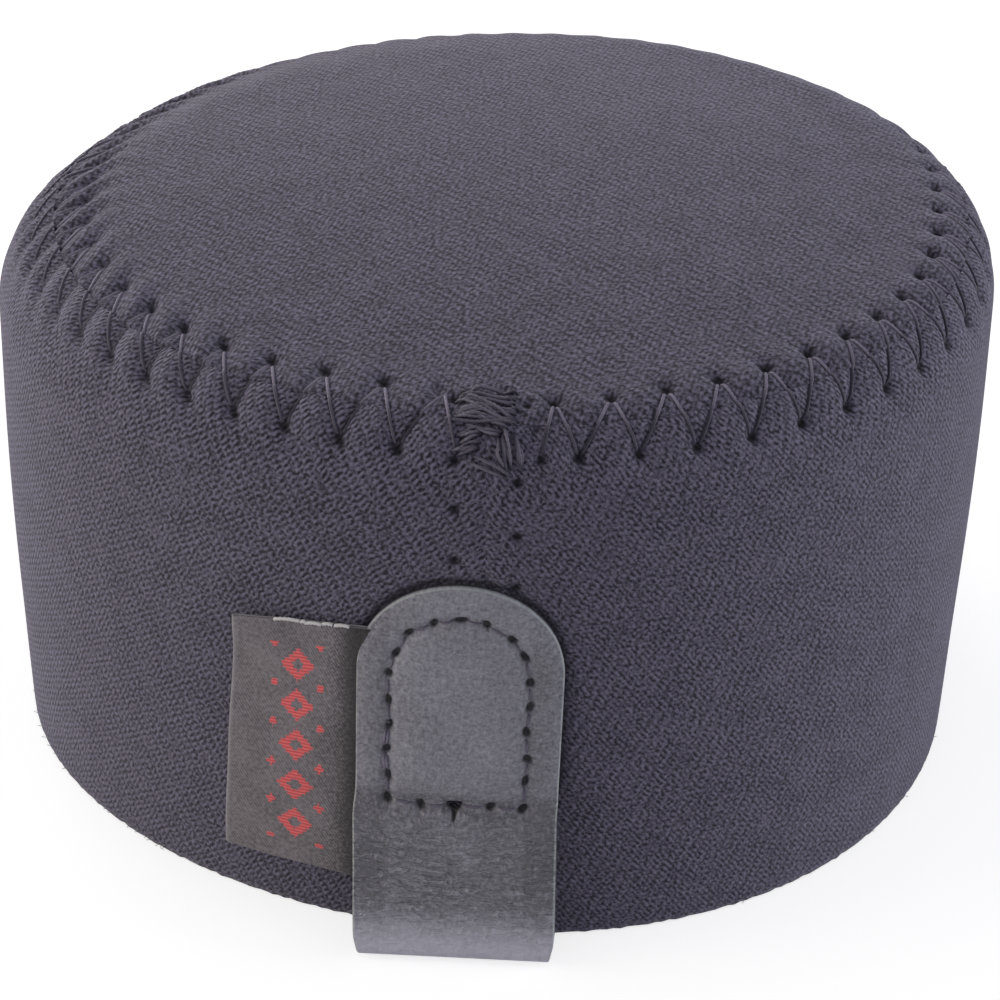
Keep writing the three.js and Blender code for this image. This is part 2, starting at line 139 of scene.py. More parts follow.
TAB_HINGE = np.array([16.3, 13.6]) * MM  # the strap bends between these s, from its row of stitches down

# Label
LABEL_LEAF = 0.24 * MM
LABEL_LEAF_GAP = 0.1 * MM
LABEL_MIDDLE = 0.12 * MM + LABEL_LEAF + LABEL_LEAF_GAP / 2
LABEL_BOTTOM = 5.92 * MM
LABEL_HEIGHT = 26.8 * MM
LABEL_SHOWING = 13 * MM
LABEL_SEWN_IN = 4.6 * MM
LABEL_LIFT = 0.9 * MM
LABEL_OFF = (LABEL_LEAF + LABEL_LEAF_GAP) / 2
LABEL_FOLD = np.pi / 2 * LABEL_OFF
LABEL_HALF = LABEL_SHOWING + LABEL_SEWN_IN - LABEL_OFF - LABEL_LEAF / 2 + LABEL_FOLD
WEFT = 0.36 * MM  # one weft thread of the label
MOTIF_STEP = 4.4 * MM  # from one lozenge to the next
MOTIF_MIDDLE = 6.7 * MM  # from the fold to the column of lozenges
LABEL_HINGE = LABEL_SHOWING - np.array([0.1, 1.6]) * MM  # from just under the strap's edge to outside it

# Grids and flat panels
FINE = 16 * STITCHES  # points round the cap where the fabric has stitches in it
CROWN_BAND = 8.5 * MM  # the crown's part with stitches in it
WALL_LOW = 33 * MM  # the wall's part without them
CROWN_RINGS = 40  # from the band to the crown's middle
CROWN_INSIDE = 39 * MM  # about the radius inside the band
CROWN_SPACING = 0.5625 * MM  # a ring whose points would be closer than this has fewer
CROWN_BIAS = np.radians(-47)  # how far the crown's columns of loops are turned

# Floor and camera
FLOOR = 3.0  # from its middle to its sides
CAMERA_PLACE = (0, -0.33424, 0.20966)
LOOK_DOWN, LOOK_ALONG = 0.4835, 0.87535  # sine and cosine of how far the camera looks down
CAMERA_ROLL = -0.0055
CAMERA_LENS = 138.46
CAMERA_SENSOR = 36
CAMERA_SHIFT = (0.0031, -0.0356)


class LensCapSizes(bpy.types.PropertyGroup):
    """Sizes of the surface detail"""
    pucker: bpy.props.FloatProperty(
        name="Pucker", description="How far the fabric puffs up between the rim stitches",
        default=0.3 * MM, min=0, max=1 * MM, unit="LENGTH")
    hole: bpy.props.FloatProperty(
        name="Needle Hole", description="How deep the fabric is drawn in at each needle hole",
        default=0.55 * MM, min=0, max=1 * MM, unit="LENGTH")
    column: bpy.props.FloatProperty(
        name="Column", description="Width of one column of knitted loops",
        default=0.98 * MM, min=0.1 * MM, max=3 * MM, unit="LENGTH")
    row: bpy.props.FloatProperty(
        name="Row", description="Height of one row of knitted loops",
        default=0.51 * MM, min=0.1 * MM, max=3 * MM, unit="LENGTH")
    lozenge: bpy.props.FloatProperty(
        name="Lozenge", description="Half the width of the lozenges woven into the label",
        default=1.7 * MM, min=0.2 * MM, max=4 * MM, unit="LENGTH")


class LensCapColours(bpy.types.PropertyGroup):
    """Colours of the cap's materials"""
    face: bpy.props.FloatVectorProperty(
        name="Face Fabric", description="Knitted fabric outside", subtype="COLOR",
        default=(0.1, 0.091, 0.132), min=0, max=1)
    lining: bpy.props.FloatVectorProperty(
        name="Lining", description="Knitted fabric inside", subtype="COLOR",
        default=(0.045, 0.043, 0.055), min=0, max=1)
    strap: bpy.props.FloatVectorProperty(
        name="Strap", description="Grained strap of the pull tab", subtype="COLOR",
        default=(0.255, 0.252, 0.3), min=0, max=1)
    label: bpy.props.FloatVectorProperty(
        name="Label", description="Ground of the woven label", subtype="COLOR",
        default=(0.185, 0.167, 0.184), min=0, max=1)
    motif: bpy.props.FloatVectorProperty(
        name="Motif", description="Lozenges woven into the label", subtype="COLOR",
        default=(0.8, 0.075, 0.085), min=0, max=1)
    thread: bpy.props.FloatVectorProperty(
        name="Thread", description="Sewing thread", subtype="COLOR",
        default=(0.24, 0.215, 0.29), min=0, max=1)


# Meshes


def piece(name, made, material, body="hood", replaced=()):
    """Makes a piece, and gives it its material, its body and the solids that it stands for. made is its points,
    arrays of faces with the same number of corners, each corner's place on the flat cloth, given like the faces
    or as one place for each point, and its marks, which are numbers at each point that its material reads.
    Faces are turned outwards if the volume they enclose, the sum of the tetrahedra from the middle to each
    triangle, comes out negative."""
    points, faces, cloth, marks = made
    if not isinstance(cloth, list):
        cloth = [cloth[f] for f in faces]
    volume = 0.0
    middle = points - points.mean(0)
    for f in faces:
        for k in range(1, f.shape[1] - 1):
            volume += (middle[f[:, 0]] * np.cross(middle[f[:, k]], middle[f[:, k + 1]])).sum()
    if volume < 0:
        faces = [f[:, ::-1] for f in faces]
        cloth = [c[:, ::-1] for c in cloth]
    mesh = bpy.data.meshes.new(name)
    corners = np.concatenate([f.ravel() for f in faces])
    sizes = np.concatenate([np.full(len(f), f.shape[1]) for f in faces])
    mesh.vertices.add(len(points))
    mesh.vertices.foreach_set("co", points.astype(np.float32).ravel())
    mesh.loops.add(len(corners))
    mesh.loops.foreach_set("vertex_index", corners.astype(np.int32))
    mesh.polygons.add(len(sizes))
    mesh.polygons.foreach_set("loop_start", (np.cumsum(sizes) - sizes).astype(np.int32))
    mesh.polygons.foreach_set("loop_total", sizes.astype(np.int32))
    mesh.polygons.foreach_set("use_smooth", np.full(len(sizes), True))
    mesh.update(calc_edges=True)
    layer = mesh.uv_layers.new(name="cloth")
    layer.data.foreach_set("uv", np.concatenate([c.reshape(-1, 2) for c in cloth]).astype(np.float32).ravel())
    for key, values in marks.items():
        mesh.attributes.new(key, "FLOAT", "POINT").data.foreach_set("value", np.asarray(values, np.float32))
    if mesh.validate():
        raise RuntimeError(f"{name} has faces that don't hold together")
    thing = bpy.data.objects.new(name, mesh)
    bpy.context.scene.collection.objects.link(thing)
    mesh.materials.append(material)
    if body:
        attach(thing, body)
    if replaced:
        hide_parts(*replaced)
    return thing


def stacked(rows, place, closed=False):
    """A skin over rings of points that go round the cap from the closing seam. Each row is (count, numbers...),
    and place(azimuth, numbers...) gives a ring's points, their places on the cloth and their hole marks, which
    are painted shade. A ring has as many points as the one before, or half or double, and a ring of one point
    is a pole. closed joins the last ring to the first. Between a ring and one of half its points each coarse
    step gets three triangles."""
    points, cloths, marks, start, cloth_start = [], [], [], [], []
    for count, *numbers in rows:
        azimuth = CLOSING_SEAM + TAU * np.arange(count + 1) / count
        at, on, mark = place(azimuth, *numbers)
        start.append(sum(map(len, points)))
        cloth_start.append(sum(map(len, cloths)))
        points.append(at[:count])
        marks.append(mark[:count])
        cloths.append(on)
    quads, triangles = [], []

    def corner(row, column):
        return start[row] + column % rows[row][0], cloth_start[row] + column

    def add(*corners):
        store = quads if len(corners) == 4 else triangles
        store.append(np.stack(corners, -1))

    for a in range(len(rows) if closed else len(rows) - 1):
        b = (a + 1) % len(rows)
        na, nb = rows[a][0], rows[b][0]
        j = np.arange(min(na, nb) if min(na, nb) > 1 else max(na, nb))
        if na == nb:
            add(corner(a, j), corner(a, j + 1), corner(b, j + 1), corner(b, j))
        elif nb == 1:
            add(corner(a, j), corner(a, j + 1), corner(b, 0 * j))
        elif na == 1:
            add(corner(a, 0 * j), corner(b, j + 1), corner(b, j))
        elif na == 2 * nb:
            add(corner(a, 2 * j), corner(a, 2 * j + 1), corner(b, j))
            add(corner(a, 2 * j + 1), corner(b, j + 1), corner(b, j))
            add(corner(a, 2 * j + 1), corner(a, 2 * j + 2), corner(b, j + 1))
        else:
            add(corner(a, j), corner(b, 2 * j + 1), corner(b, 2 * j))
            add(corner(a, j), corner(a, j + 1), corner(b, 2 * j + 1))
            add(corner(a, j + 1), corner(b, 2 * j + 2), corner(b, 2 * j + 1))
    cloth = np.concatenate(cloths)
    kinds = [np.concatenate(store, 1) for store in (quads, triangles) if store]
    return (np.concatenate(points), [kind[0] for kind in kinds], [cloth[kind[1]] for kind in kinds],
            {"hole": np.concatenate(marks)})


def unit(vectors):
    """Vectors with their lengths made one."""
    return vectors / np.maximum(np.linalg.norm(vectors, axis=1, keepdims=True), 1e-12)


def tube(path, up, radius, sides, shade=0.5, twist=0.95 * MM, depth=0.2):
    """A thread of two plies twisted along a path, with closed ends. Each ring's point at the angle t lies
    from the path by radius * (1 + depth * cos(2 * (t - turn))), where turn grows by a whole turn for each
    twist of length."""
    along = unit(np.gradient(path, axis=0))
    side = unit(np.cross(along, up))
    top = np.cross(side, along)
    length = np.append(0, np.cumsum(np.linalg.norm(np.diff(path, axis=0), axis=1)))
    angle = TAU * np.arange(sides) / sides
    reach = radius * (1 + depth * np.cos(2 * (angle - TAU * length[:, None] / twist)))
    rings = path[:, None] + reach[..., None] * (np.cos(angle)[:, None] * side[:, None]
                                                + np.sin(angle)[:, None] * top[:, None])
    i, j = np.divmod(np.arange((len(path) - 1) * sides), sides)
    k = (j + 1) % sides
    quads = np.stack([i * sides + j, i * sides + k, (i + 1) * sides + k, (i + 1) * sides + j], 1)
    j, k = j[:sides], k[:sides]
    last, pole = (len(path) - 1) * sides, len(path) * sides + 0 * j
    ends = np.concatenate([np.stack([pole, k, j], 1), np.stack([pole + 1, last + j, last + k], 1)])
    cloth = np.stack(np.broadcast_arrays(length[:, None], radius * angle), -1).reshape(-1, 2)
    shade = np.broadcast_to(shade, len(path))
    return (np.concatenate([rings.reshape(-1, 3), path[:1], path[-1:]]), [quads, ends],
            np.concatenate([cloth, [[0, 0], [length[-1], 0]]]),
            {"shade": np.concatenate([np.repeat(shade, sides), shade[:1], shade[-1:]])})


def together(tubes):
    """Several threads as one."""
    points, faces, cloths, marks = zip(*tubes)
    offset = np.cumsum([0] + [len(p) for p in points])
    quads, ends = ([f[kind] + o for f, o in zip(faces, offset)] for kind in (0, 1))
    return (np.concatenate(points), [np.concatenate(quads), np.concatenate(ends)], np.concatenate(cloths),
            {"shade": np.concatenate([m["shade"] for m in marks])})


def slab(plan, half, rounding, arc=3):
    """A closed flat sheet with rounded edges: its faces, and for each point its flat place, its height off
    the sheet's middle and whether it is on the edge. plan(inset) gives the grids of the two flat
    coordinates, with the outline drawn in by inset. The edge is two quarter rounds: at the angle t its ring
    is drawn in by rounding * (1 - sin t) at the height half - rounding * (1 - cos t)."""
    grid = np.stack(plan(rounding), -1)
    index = np.arange(grid[..., 0].size).reshape(grid.shape[:2])
    border = np.concatenate([index[0], index[1:, -1], index[-1, -2::-1], index[-2:0:-1, 0]])
    flat, height = [grid.reshape(-1, 2)] * 2, [half, -half]
    turns = np.linspace(0, np.pi / 2, arc + 1)[1:]
    for t, side in [(t, 1) for t in turns] + [(t, -1) for t in turns[::-1]]:
        flat.append(np.stack(plan(rounding * (1 - np.sin(t))), -1).reshape(-1, 2)[border])
        height.append(side * (half - rounding * (1 - np.cos(t))))
    sizes = [len(ring) for ring in flat]
    start = np.cumsum([0] + sizes)
    quads = np.stack([index[:-1, :-1], index[:-1, 1:], index[1:, 1:], index[1:, :-1]], -1).reshape(-1, 4)
    faces = [quads, quads[:, ::-1] + start[1]]
    rings = [border, *(first + np.arange(len(border)) for first in start[2:-1]), border + start[1]]
    for upper, lower in zip(rings[:-1], rings[1:]):
        faces.append(np.stack([upper, lower, np.roll(lower, -1), np.roll(upper, -1)], 1))
    return faces, np.concatenate(flat), np.repeat(height, sizes), np.repeat(np.arange(len(sizes)) > 1, sizes)


# The cap's form


def bell(distance, width):
    """One at no distance, fading as a normal curve."""
    return np.exp(-(distance / width) ** 2)


def fade(x, low, high):
    """Goes smoothly from zero at low to one at high."""
    t = np.clip((x - low) / (high - low), 0, 1)
    return t * t * (3 - 2 * t)


def round_from(azimuth, start):
    """An azimuth as measured from another, between half a turn back and half a turn on."""
    return (azimuth - start + np.pi) % TAU - np.pi


def profile(s):
    """The plain outside at s: radius, height, and the outward normal's two parts. The wall widens evenly
    and swells by half a sine, the shoulder is an arc, and the crown is a low parabola."""
    t = s / WALL_HEIGHT
    flare = (HEM_INSET + WALL_BULGE * np.pi * np.cos(np.pi * t)) / WALL_HEIGHT
    wall = np.hypot(1, flare)
    turn = (s - WALL_HEIGHT) / SHOULDER_RADIUS
    reach = CROWN_MIDDLE - s
    slope = DOME_SLOPE * reach / CROWN_RADIUS
    crown = np.hypot(1, slope)
    top = WALL_HEIGHT + SHOULDER_RADIUS * np.sin(SHOULDER_TURN)
    parts = [s <= WALL_HEIGHT, s <= CROWN_START]
    r = np.select(parts, [RIM_RADIUS - HEM_INSET * (1 - t) + WALL_BULGE * np.sin(np.pi * t),
                          RIM_RADIUS - SHOULDER_RADIUS * (1 - np.cos(turn))], reach)
    z = np.select(parts, [s, WALL_HEIGHT + SHOULDER_RADIUS * np.sin(turn)],
                  top + DOME_SLOPE * (CROWN_RADIUS ** 2 - reach ** 2) / (2 * CROWN_RADIUS))
    nr = np.select(parts, [1 / wall, np.cos(turn)], slope / crown)
    nz = np.select(parts, [-flare / wall, np.sin(turn)], 1 / crown)
    return r, z, nr, nz


def skin(azimuth, s, out):
    """Points that stand out from the plain outside, on a cap that has settled a little out of round: its
    plan has three low lobes, a sine of three times the azimuth, and its shoulder sinks at the back, most on
    the left."""
    r, z, nr, nz = profile(s)
    reach, z = r + nr * out, z + nz * out
    lobes = np.sin(3 * azimuth) * (1 - 0.85 * np.clip(z / (50 * MM), 0, 1)) * MM
    reach = reach + lobes * np.clip(reach / RIM_RADIUS, 0, 1) ** 2
    back = (1 - np.cos(azimuth)) / 2
    drop = (1.3 * np.sin(azimuth) - 0.38) * back - 1.15 * bell(round_from(azimuth, -2.06), 0.42)
    z = z + drop * MM * fade(reach, 36 * MM, 46 * MM) * fade(z, 35 * MM, 50 * MM)
    return np.stack(np.broadcast_arrays(reach * np.sin(azimuth), AXIS_Y - reach * np.cos(azimuth), z), -1)


def seam_lift(azimuth):
    """How much the zigzag widens upwards: it swells left of the tack and narrows right of it."""
    return 1.1 * MM * bell(round_from(azimuth, -0.3), 0.22) - 0.5 * MM * bell(round_from(azimuth, 0.13), 0.15)


def rim_seam(azimuth):
    """Where the rim seam's middle is: it climbs on the left and drops on the right, and it runs lower at
    the back, where it gets down sooner on the right."""
    angle = round_from(azimuth, 0)
    behind = np.where(angle < 0, fade(-angle, 1.3, 3.0), fade(angle, 1.5, 2.3))
    return RIM_SEAM - RIM_SEAM_RISE * np.sin(azimuth) + seam_lift(azimuth) / 2 - RIM_SEAM_DROP * behind


def hole_shift(lower):
    """How far round an upper hole is from the lower hole at an azimuth: a skew, a sway and a sag, with the
    azimuth's sine and its square, and a short slip just left of the front."""
    slip = np.radians(1.3) * bell(round_from(lower, -0.07), 0.16)
    return STITCH_SKEW + STITCH_SWAY * np.sin(lower) + STITCH_SAG * np.sin(lower) ** 2 + slip


def rim_stitch(azimuth, s):
    """A place in the rim seam's zigzag: q is whole at each needle hole, and v is -1 at the lower holes and
    1 at the upper ones. The upper holes are shifted round from the lower ones, so the lower hole's azimuth
    is found by setting the shift again from the last answer, a few times over."""
    v = (s - rim_seam(azimuth)) * 2 / (STITCH_WIDTH + seam_lift(azimuth))
    share = (np.clip(v, -1.5, 1.5) + 1) / 2
    lower = azimuth
    for _ in range(4):
        lower = azimuth - share * hole_shift(lower)
    return (lower - STITCH_START) / STITCH_STEP, v


def off_whole(x):
    """How far numbers are from the nearest whole one."""
    return np.abs(x - np.round(x))


def tab_azimuth(x, s):
    """Azimuth of a place x to the right of the tab's middle."""
    return (TAB_ACROSS + TAB_LEAN * s) / RIM_RADIUS + x / TAB_RADIUS


def sinking(s):
    """How deep the sewn strap sinks into the wall: most at its round end, less at its row of stitches, and
    not at all below."""
    return TAB_PRESS * (0.4 + 0.6 * fade(s, 15 * MM, 34 * MM)) * fade(s, 13.2 * MM, 16 * MM)


def outside_strap(azimuth, s):
    """How far a place on the wall is outside the strap's outline; less than nothing under the strap."""
    x = round_from(azimuth, tab_azimuth(0, s)) * RIM_RADIUS
    return np.where(s > ROUND_END, np.hypot(x, s - ROUND_END), np.abs(x)) - TAB_WIDTH / 2


def press(azimuth, s):
    """How deep the strap presses the fabric. The fabric climbs back just under the strap's edge, so that it
    closes round the strap."""
    return sinking(s) * (1 - fade(outside_strap(azimuth, s), -1.1 * MM, -0.3 * MM))


def relief(azimuth, s):
    """How far the sewn fabric stands off the plain outside, and how much painted shade each place gets for
    lying in a hole, a groove or a gap, 0 to 1. Each needle hole draws the fabric in by a bell curve, each leg
    of thread presses a narrow groove, the fabric puffs up between them and sinks close round the strap, and
    wide, slow sine waves make it a little uneven. On the left the holes are drawn nearly shut, and so they are
    shallow, and the painted shade in them and in the grooves is faint."""
    sizes = bpy.context.scene.lens_cap_sizes
    azimuth, s = np.broadcast_arrays(azimuth, s)
    q, v = rim_stitch(azimuth, s)
    pitch = STITCH_STEP * np.maximum(profile(s)[0], 30 * MM)
    across = (np.abs(v) - 1) * STITCH_WIDTH / 2
    front = round_from(azimuth, CLOSING_SEAM)
    sewn = fade(np.abs(front + 0.01), 0.085, 0.105)  # no zigzag under the tack
    faint = 1 - 0.7 * bell(round_from(azimuth, -1.6), 0.55)
    uneven = 1 + 0.25 * np.sin(7.3 * np.round(q) + 1.3)
    holes = bell(np.hypot(off_whole(q) * pitch, across), 0.68 * MM) * sewn * faint
    near_leg = np.minimum(off_whole(q), off_whole(q - (v + 1) / 2) * 0.8) * pitch
    groove = bell(near_leg, 0.34 * MM) * fade(1.2 - np.abs(v), 0, 0.4) * sewn
    # it puffs up most on the left of the back, and least on the right of the back
    full = 1.05 - 0.2 * np.cos(azimuth) - 0.42 * np.sin(azimuth)
    full += 0.8 * bell(round_from(azimuth, -2.2), 0.35) - 0.4 * bell(round_from(azimuth, 2.6), 0.7)
    puff = np.exp(-np.maximum(np.abs(v) - 0.7, 0) ** 2 / 0.7)
    gather = np.cos(TAU * np.where(v > 0, q, q - (v + 1) / 2 * (np.abs(v) < 1)))
    out = puff * (0.5 - 0.5 * gather * uneven) * full * sizes.pucker - sizes.hole * uneven * holes
    out -= 0.2 * MM * groove
    # the closing seam: its holes, the strip that its threads press, and the butted edges between them
    x = front * RIM_RADIUS
    down = (CLOSING_TOP - s) / (CLOSING_LENGTH / 2)
    on_closing = fade(CLOSING_TOP + 1.5 * MM - s, 0, 1 * MM)
    side = np.where(np.round(down) % 2 == 0, 1, -1) * CLOSING_WIDTH / 2
    closing_holes = bell(np.hypot(x - side, off_whole(down) * CLOSING_LENGTH / 2), 0.6 * MM) * on_closing
    strip = fade(CLOSING_WIDTH / 2 + 1.2 * MM - np.abs(x), 0, 1.6 * MM) * on_closing
    leg = CLOSING_WIDTH / 2 * (1 - 2 * np.abs((down + 1) % 2 - 1))  # where the thread crosses this height
    slot = bell((x - leg) * 0.42, 0.3 * MM) * strip
    out += strip * 0.12 * MM - 0.45 * MM * closing_holes - 0.15 * MM * slot
    out -= 0.2 * MM * bell(x + 0.35 * MM * np.sin(s / (2.1 * MM)), 0.35 * MM) * on_closing
    # painted shadow in the gap beside the strap, where the fabric also dips round its edge
    gap = bell(outside_strap(azimuth, s) - 0.25 * MM, 0.55 * MM) * fade(s, 13 * MM, 18 * MM)
    tack = np.zeros(s.shape)
    for hole_azimuth, hole_s in TACK_HOLES:
        reach = np.hypot(round_from(azimuth, np.radians(hole_azimuth)) * TACK_RADIUS, s - hole_s * MM)
        tack = np.maximum(tack, bell(reach, 0.6 * MM))
    waves = (np.sin(3 * azimuth + 0.7 + s / (13 * MM)) + 0.7 * np.sin(5 * azimuth - 1.1 - s / (9 * MM))
             + 0.5 * np.sin(11 * azimuth + s / (6 * MM)))
    out += 0.05 * MM * waves * fade(s, 0, 12 * MM) * fade(CROWN_MIDDLE - s, 0, 30 * MM) - press(azimuth, s)
    out -= 0.4 * MM * gap + 0.5 * MM * tack
    # painted shade in the thread grooves, stronger on their lower half and faint on the left; every mark given
    # back is painted shade
    groove *= (0.4 + 0.4 * fade(0.3 - v, 0, 0.8)) * faint
    return out, np.maximum.reduce((holes, groove, closing_holes, 0.45 * slot, 0.72 * gap, tack))


def layer_out(out, depth):
    """How far a place at a depth moves with the outside: all the way on the outside, and a little the other
    way on the lining, as thread draws the two together."""
    return out * (1 - 1.3 * depth / LAMINATE)


# Materials


def maths(operation):
    """A method of Amount that adds one maths node."""
    return lambda amount, *others: amount.nodes.math(operation, amount, *others)


class Amount:
    """A number or colour that a material works out at each place. Sums, products and the like add a node
    each."""
    __add__ = __radd__ = maths("ADD")
    __mul__ = __rmul__ = maths("MULTIPLY")
    __sub__, __truediv__ = maths("SUBTRACT"), maths("DIVIDE")
    __pow__, __abs__ = maths("POWER"), maths("ABSOLUTE")
    cos, sin, whole = maths("COSINE"), maths("SINE"), maths("ROUND")
    most, pingpong = maths("MAXIMUM"), maths("PINGPONG")

    def __init__(self, nodes, socket):
        self.nodes, self.socket = nodes, socket

    def __rsub__(self, other):
        return self.nodes.math("SUBTRACT", other, self)

    def clamped(self):
        """The same, kept from 0 to 1."""
        self.socket.node.use_clamp = True
        return self

    def smooth(self, low, high, start=0.0, end=1.0):
        """Goes smoothly from start where the amount is low to end where it is high."""
        return self.nodes.node("ShaderNodeMapRange", {"Value": self, "From Min": low, "From Max": high,
                                                      "To Min": start, "To Max": end},
                               interpolation_type="SMOOTHSTEP")


class Nodes:
    """The nodes of a material or a world in the making: each short call adds a node and gives back its
    output."""

    def __init__(self, owner):
        owner.use_nodes = True
        self.tree = owner.node_tree
        self.tree.nodes.clear()

    def put(self, value, socket):
        """Gives a socket an amount, a number or a colour."""
        if isinstance(value, Amount):
            self.tree.links.new(value.socket, socket)
        elif isinstance(value, (int, float)):
            socket.default_value = value
        else:
            socket.default_value = [*value, 1.0][:len(socket.default_value)]

    def node(self, kind, inputs, output=0, **settings):
        """A node of a kind: its inputs by name or number, the output that is wanted, and its settings."""
        made = self.tree.nodes.new(kind)
        for key, value in settings.items():
            setattr(made, key, value)
        for key, value in inputs.items():
            self.put(value, made.inputs[key])
        return Amount(self, made.outputs[output])

    def math(self, operation, *values):
        return self.node("ShaderNodeMath", dict(enumerate(values)), operation=operation)

    def mix(self, share, a, b):
        """The colour a, or b by a share."""
        return self.node("ShaderNodeMix", {0: share, 6: a, 7: b}, 2, data_type="RGBA")

    def noise(self, vector, scale, detail=2.0, roughness=0.5, distortion=0.0):
        return self.node("ShaderNodeTexNoise", {"Vector": vector, "Scale": scale, "Detail": detail,
                                                "Roughness": roughness, "Distortion": distortion})

    def drawn_out(self, vector, scale, turn=(0.0, 0.0, 0.0)):
        """Places scaled by a different share each way, which draws a pattern out."""
        return self.node("ShaderNodeMapping", {"Vector": vector, "Rotation": turn, "Scale": scale})

    def cloth(self):
        """The place on the flat cloth, and its two parts."""
        flat = self.node("ShaderNodeUVMap", {}, uv_map="cloth")
        return flat, *(self.node("ShaderNodeSeparateXYZ", {0: flat}, part) for part in (0, 1))

    def mark(self, name):
        """A number that the mesh holds at each point."""
        return self.node("ShaderNodeAttribute", {}, "Fac", attribute_name=name)

    def bump(self, height, distance, strength):
        return self.node("ShaderNodeBump", {"Height": height, "Distance": distance, "Strength": strength})

    def ray(self, kind):
        """One where the light comes by a ray of a kind, and zero elsewhere."""
        return self.node("ShaderNodeLightPath", {}, f"Is {kind} Ray")


class Finish(Nodes):
    """A material in the making."""

    def __init__(self, name):
        self.material = bpy.data.materials.new(name)
        super().__init__(self.material)

    def done(self, **sockets):
        """The material, with these on its shader."""
        shader = self.tree.nodes.new("ShaderNodeBsdfPrincipled")
        output = self.tree.nodes.new("ShaderNodeOutputMaterial")
        self.tree.links.new(shader.outputs[0], output.inputs["Surface"])
        for key, value in sockets.items():
            self.put(value, shader.inputs[key.replace("_", " ")])
        return self.material


def toned(colour, share, lift=0.0):
    """A colour made darker or lighter."""
    return np.minimum(np.array(colour) * share + lift, 1.0)


def jersey(name, colour, bias=None, fuzz=0.35):
    """Fine knitted fabric. Its columns and rows of loops are two waves at right angles, turned by the bias,
    and the legs of the loops are the sum and the difference of those waves. Without a bias it is cut as the
    wall's strip is, where the bias turns evenly from one side at the closing seam, by the cosine of half a
    turn, to the other, and the rows show most where the legs to the right show least."""
    f = Finish(name)
    sizes = bpy.context.scene.lens_cap_sizes
    flat, u, v = f.cloth()
    u = u + (f.noise(flat, 700, 2.0, 0.6) - 0.5) * 0.4 * MM
    v = v + (f.noise(flat, 1050, 2.0, 0.6) - 0.5) * 0.4 * MM
    if bias is None:
        turn = u * (np.pi / (TAU * RIM_RADIUS))
        slant, sweep = turn.cos(), turn.sin() * (2 * RIM_RADIUS)
        a = u * 0.84 + sweep * 0.06 + v * (0.03 - slant * 0.47)
        b = v * (slant * 0.06 + 0.84) + (sweep * 0.47 - u * 0.03)
        right = slant * 0.5 + 0.5
        rows, fineness, columns, legs, ground = 1.15 - right * 0.75, 3000, 0.55, 1.02, 0.46
    else:
        a = u * np.cos(bias) - v * np.sin(bias)
        b = v * np.cos(bias) + u * np.sin(bias)
        right, rows, fineness, columns, legs, ground = 0.1, 0.25, 2400, 0.7, 0.85, 0.35
    a, b = a * (TAU / sizes.column), b * (TAU / sizes.row)
    slanting = (a + b + 1.5).cos() * right + (a - b - 1.5).cos() * (1 - right)
    loops = slanting * legs + (a.cos() * columns + b.cos() * rows)
    loops = loops * f.noise(flat, 340, 2.0, 0.6).smooth(0.25, 0.75, 0.55, 1.15)
    fibre, cloudy = f.noise(flat, fineness, 1.0), f.noise(flat, 260, 4.0, 0.65)
    tone = (loops * 0.22 + ground + (fibre - 0.5) * 2.4 + (cloudy - 0.5) * 0.6).clamped()
    base = f.mix(tone, toned(colour, 0.22), toned(colour, 2.05))
    # painted shade: the hole mark darkens the fabric in needle holes, thread grooves, slots and the gap beside
    # the strap
    return f.done(Base_Color=f.mix(f.mark("hole").smooth(0.2, 0.9), base, toned(colour, 0.08)),
                  Roughness=0.9, Specular_IOR_Level=0.2, Sheen_Weight=fuzz, Sheen_Roughness=0.5,
                  Sheen_Tint=(0.86, 0.84, 1.0), Normal=f.bump(loops * 0.2 + fibre * 0.8, 0.14 * MM, 0.9))


